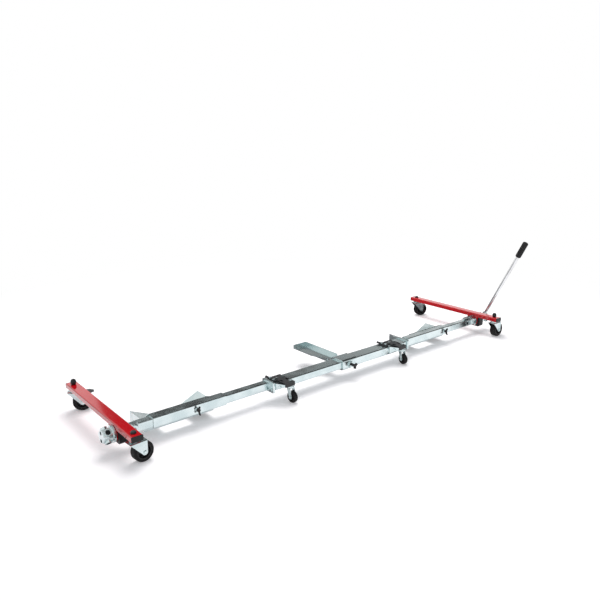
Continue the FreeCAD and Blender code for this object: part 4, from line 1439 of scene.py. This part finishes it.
@dataclass
class Studio:
    """The pale floor, the white surroundings, the lamps and the camera.

    Attributes:
        eye: The camera's place from the rail's axis and the floor.
        forward: The camera's direction.
        focal_pixels: The focal length in pixels of a square image.
        image_pixels: Side of that image.
        aim: Height above the floor that the lamps face.
        floor_glow: Light that the floor adds where it is seen.
        fade: Distances between which the floor turns plain white.
        horizon: Rises between which a mirrored sky gets darker.
        overhead: Brightness of the dark part of that sky.
        aside: How far along the rail a mirrored sky must lie to be dark.
        painted_reflection_across: Where the floor's painted dark reflection, a patch that only mirrors see, starts
            past the rail.
        painted_reflection_along: Where that painted reflection starts along the rail.
    """

    eye: tuple[float, float, float] = (-2.1062, -2.2023, 1.2411)
    forward: tuple[float, float, float] = (0.6193, 0.7408, -0.2603)
    focal_pixels: float = 615.91
    image_pixels: float = 600.0
    sensor: float = 36.0
    aim: float = 0.05
    floor_size: float = 120.0
    floor_colour: Colour = (0.92, 0.91, 0.93, 1)
    floor_glow: float = 0.24
    white: Colour = (1.0, 1.0, 1.0, 1)
    ambient: Colour = (0.95, 0.96, 1.0, 1)
    ambient_strength: float = 0.46
    fade: Span = (1.7, 3.0)
    horizon: Span = (0.27, 0.37)
    overhead: float = 0.05
    aside: Span = (0.314, 0.326)
    painted_reflection_across: Span = (-0.17, -0.04)
    painted_reflection_along: Span = (-1.05, -0.85)
    painted_reflection_colour: Colour = (0.05, 0.05, 0.055, 1)
    painted_reflection_strength: float = 0.85
    lamps: tuple[Lamp, ...] = (
        Lamp("key_lamp", (0.9, 1.6, 4.6), 3.2, 200.0, (1.0, 0.985, 0.96)),
        Lamp("fill_lamp", (-3.6, -2.6, 3.4), 3.2, 12.0, (0.97, 0.985, 1.0)),
    )

    def build(self, rail: Vector) -> None:
        """Builds the studio.

        Args:
            rail: The middle of the rail's axis, in the row frame.
        """
        bpy.context.scene.view_settings.view_transform = "Standard"
        self.floor()
        self.surroundings()
        for lamp in self.lamps:
            lamp.hang(UP * self.aim)
        self.camera(rail)

    def seen(self, graph: Graph) -> Socket:
        """1 for a ray that comes from the camera, a mirror or glass."""
        mirrored = graph.math("MAXIMUM", graph.path("Is Glossy Ray"), graph.path("Is Transmission Ray"))
        return graph.math("MAXIMUM", graph.path("Is Camera Ray"), mirrored)

    def floor(self) -> None:
        """The pale floor, which turns plain white away from the dolly, and which mirrors see as a dark patch past
        the rail, a painted dark reflection.
        """
        data = bpy.data.meshes.new("floor")
        mesh = bmesh.new()
        bmesh.ops.create_grid(mesh, x_segments=1, y_segments=1, size=self.floor_size / 2)
        mesh.to_mesh(data)
        mesh.free()
        pale = bpy.data.materials.new("pale_floor")
        graph = Graph.of(pale)
        seen = self.seen(graph)
        matt = graph.add("ShaderNodeBsdfDiffuse", {"Color": self.floor_colour}).outputs[0]
        lift = graph.glow(self.white, graph.math("MULTIPLY", seen, self.floor_glow))
        near = graph.add("ShaderNodeAddShader", {0: matt, 1: lift}).outputs[0]
        where = graph.here()
        away = graph.add("ShaderNodeVectorMath", {0: where}, operation="LENGTH").outputs["Value"]
        share = graph.math("MULTIPLY", graph.ramp(away, self.fade, WHOLE), seen)
        lit = graph.mix(share, near, graph.glow(self.white, 1.0))
        parts = graph.parts(where)
        # Painted reflection: past the rail, mirrors see the floor as a dark patch that stands in for a dark
        # reflection.
        painted_reflection_side = graph.math("MULTIPLY", graph.ramp(parts["Y"], self.painted_reflection_across, (0.0, self.painted_reflection_strength)),
                            graph.path("Is Glossy Ray"))
        painted_reflection_mask = graph.math("MULTIPLY", painted_reflection_side, graph.ramp(parts["X"], self.painted_reflection_along, WHOLE))
        surface = graph.mix(painted_reflection_mask, lit, graph.glow(self.painted_reflection_colour, 1.0))
        graph.add("ShaderNodeOutputMaterial", {"Surface": surface})
        data.materials.append(pale)
        floor = bpy.data.objects.new("floor", data)
        bpy.context.scene.collection.objects.link(floor)
        floor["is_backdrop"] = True

    def surroundings(self) -> None:
        """White surroundings for the camera and mirrors, and soft light for the rest."""
        world = bpy.data.worlds.new("studio")
        graph = Graph.of(world)
        way = graph.parts(graph.add("ShaderNodeTexCoord").outputs["Generated"])
        above = graph.ramp(way["Z"], self.horizon, (0.0, 1.0 - self.overhead))
        dark = graph.math("MULTIPLY", above, graph.ramp(way["X"], self.aside, WHOLE))
        bright = graph.math("MAXIMUM", graph.path("Is Camera Ray"), graph.math("SUBTRACT", 1.0, dark))
        soft, plain = (
            graph.add("ShaderNodeBackground", {"Color": colour, "Strength": strength}).outputs[0]
            for colour, strength in ((self.ambient, self.ambient_strength), (self.white, bright)))
        surface = graph.mix(self.seen(graph), soft, plain)
        graph.add("ShaderNodeOutputWorld", {"Surface": surface})
        bpy.context.scene.world = world

    def camera(self, rail: Vector) -> None:
        """The camera at the photograph's angle.

        Args:
            rail: The middle of the rail's axis, in the row frame.
        """
        data = bpy.data.cameras.new("camera")
        data.sensor_width = self.sensor
        data.lens = self.sensor * self.focal_pixels / self.image_pixels
        camera = bpy.data.objects.new("camera", data)
        camera.location = Vector(self.eye) + Vector((rail.x, rail.y, 0))
        camera.rotation_euler = Vector(self.forward).to_track_quat("-Z", "Y").to_euler()
        bpy.context.scene.collection.objects.link(camera)
        bpy.context.scene.camera = camera


def castors() -> Iterator[Castor]:
    """The dolly's six castors.

    Yields:
        Four end castors, one of them with a pedal, and two small middle ones.
    """
    yield Castor("near_rear")
    yield Castor("far_rear", axle_spare=0.0031)
    yield Castor("near_front")
    yield Castor("far_front")
    for name in ("middle_rear", "middle_front"):
        yield Castor(name, wheel_radius=0.029, wheel_width=0.022, foot_radius=0.009, tyre_depth=0.0,
                     core_inset=0.0, rim_depth=0.011, rim_round=0.006, back_turn=-71.0,
                     front_turn=103.0, fork_reach=(0.017, 0.018), fork_top=0.076)


def main() -> None:
    """Builds the dolly's looks in order."""
    logging.basicConfig(level=logging.INFO, format="%(name)s: %(message)s")
    shop = Workshop(FINISHES)
    ends = [kind(end) for kind in (EndBeam, RailEnd, Cradle) for end in End]
    for assembly in (*ends, Telescope(), PropStand(), Lever(), *castors(), Pedal()):
        assembly.build(shop)
        LOG.info("built %s", assembly)
    Studio().build(shop.place_of("frame_lift"))
    pairs = (("cad", CAD_BOX), ("visual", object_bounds()))
    boxes = {name: [list(corner) for corner in box] for name, box in pairs}


if __name__ == "__main__":
    main()
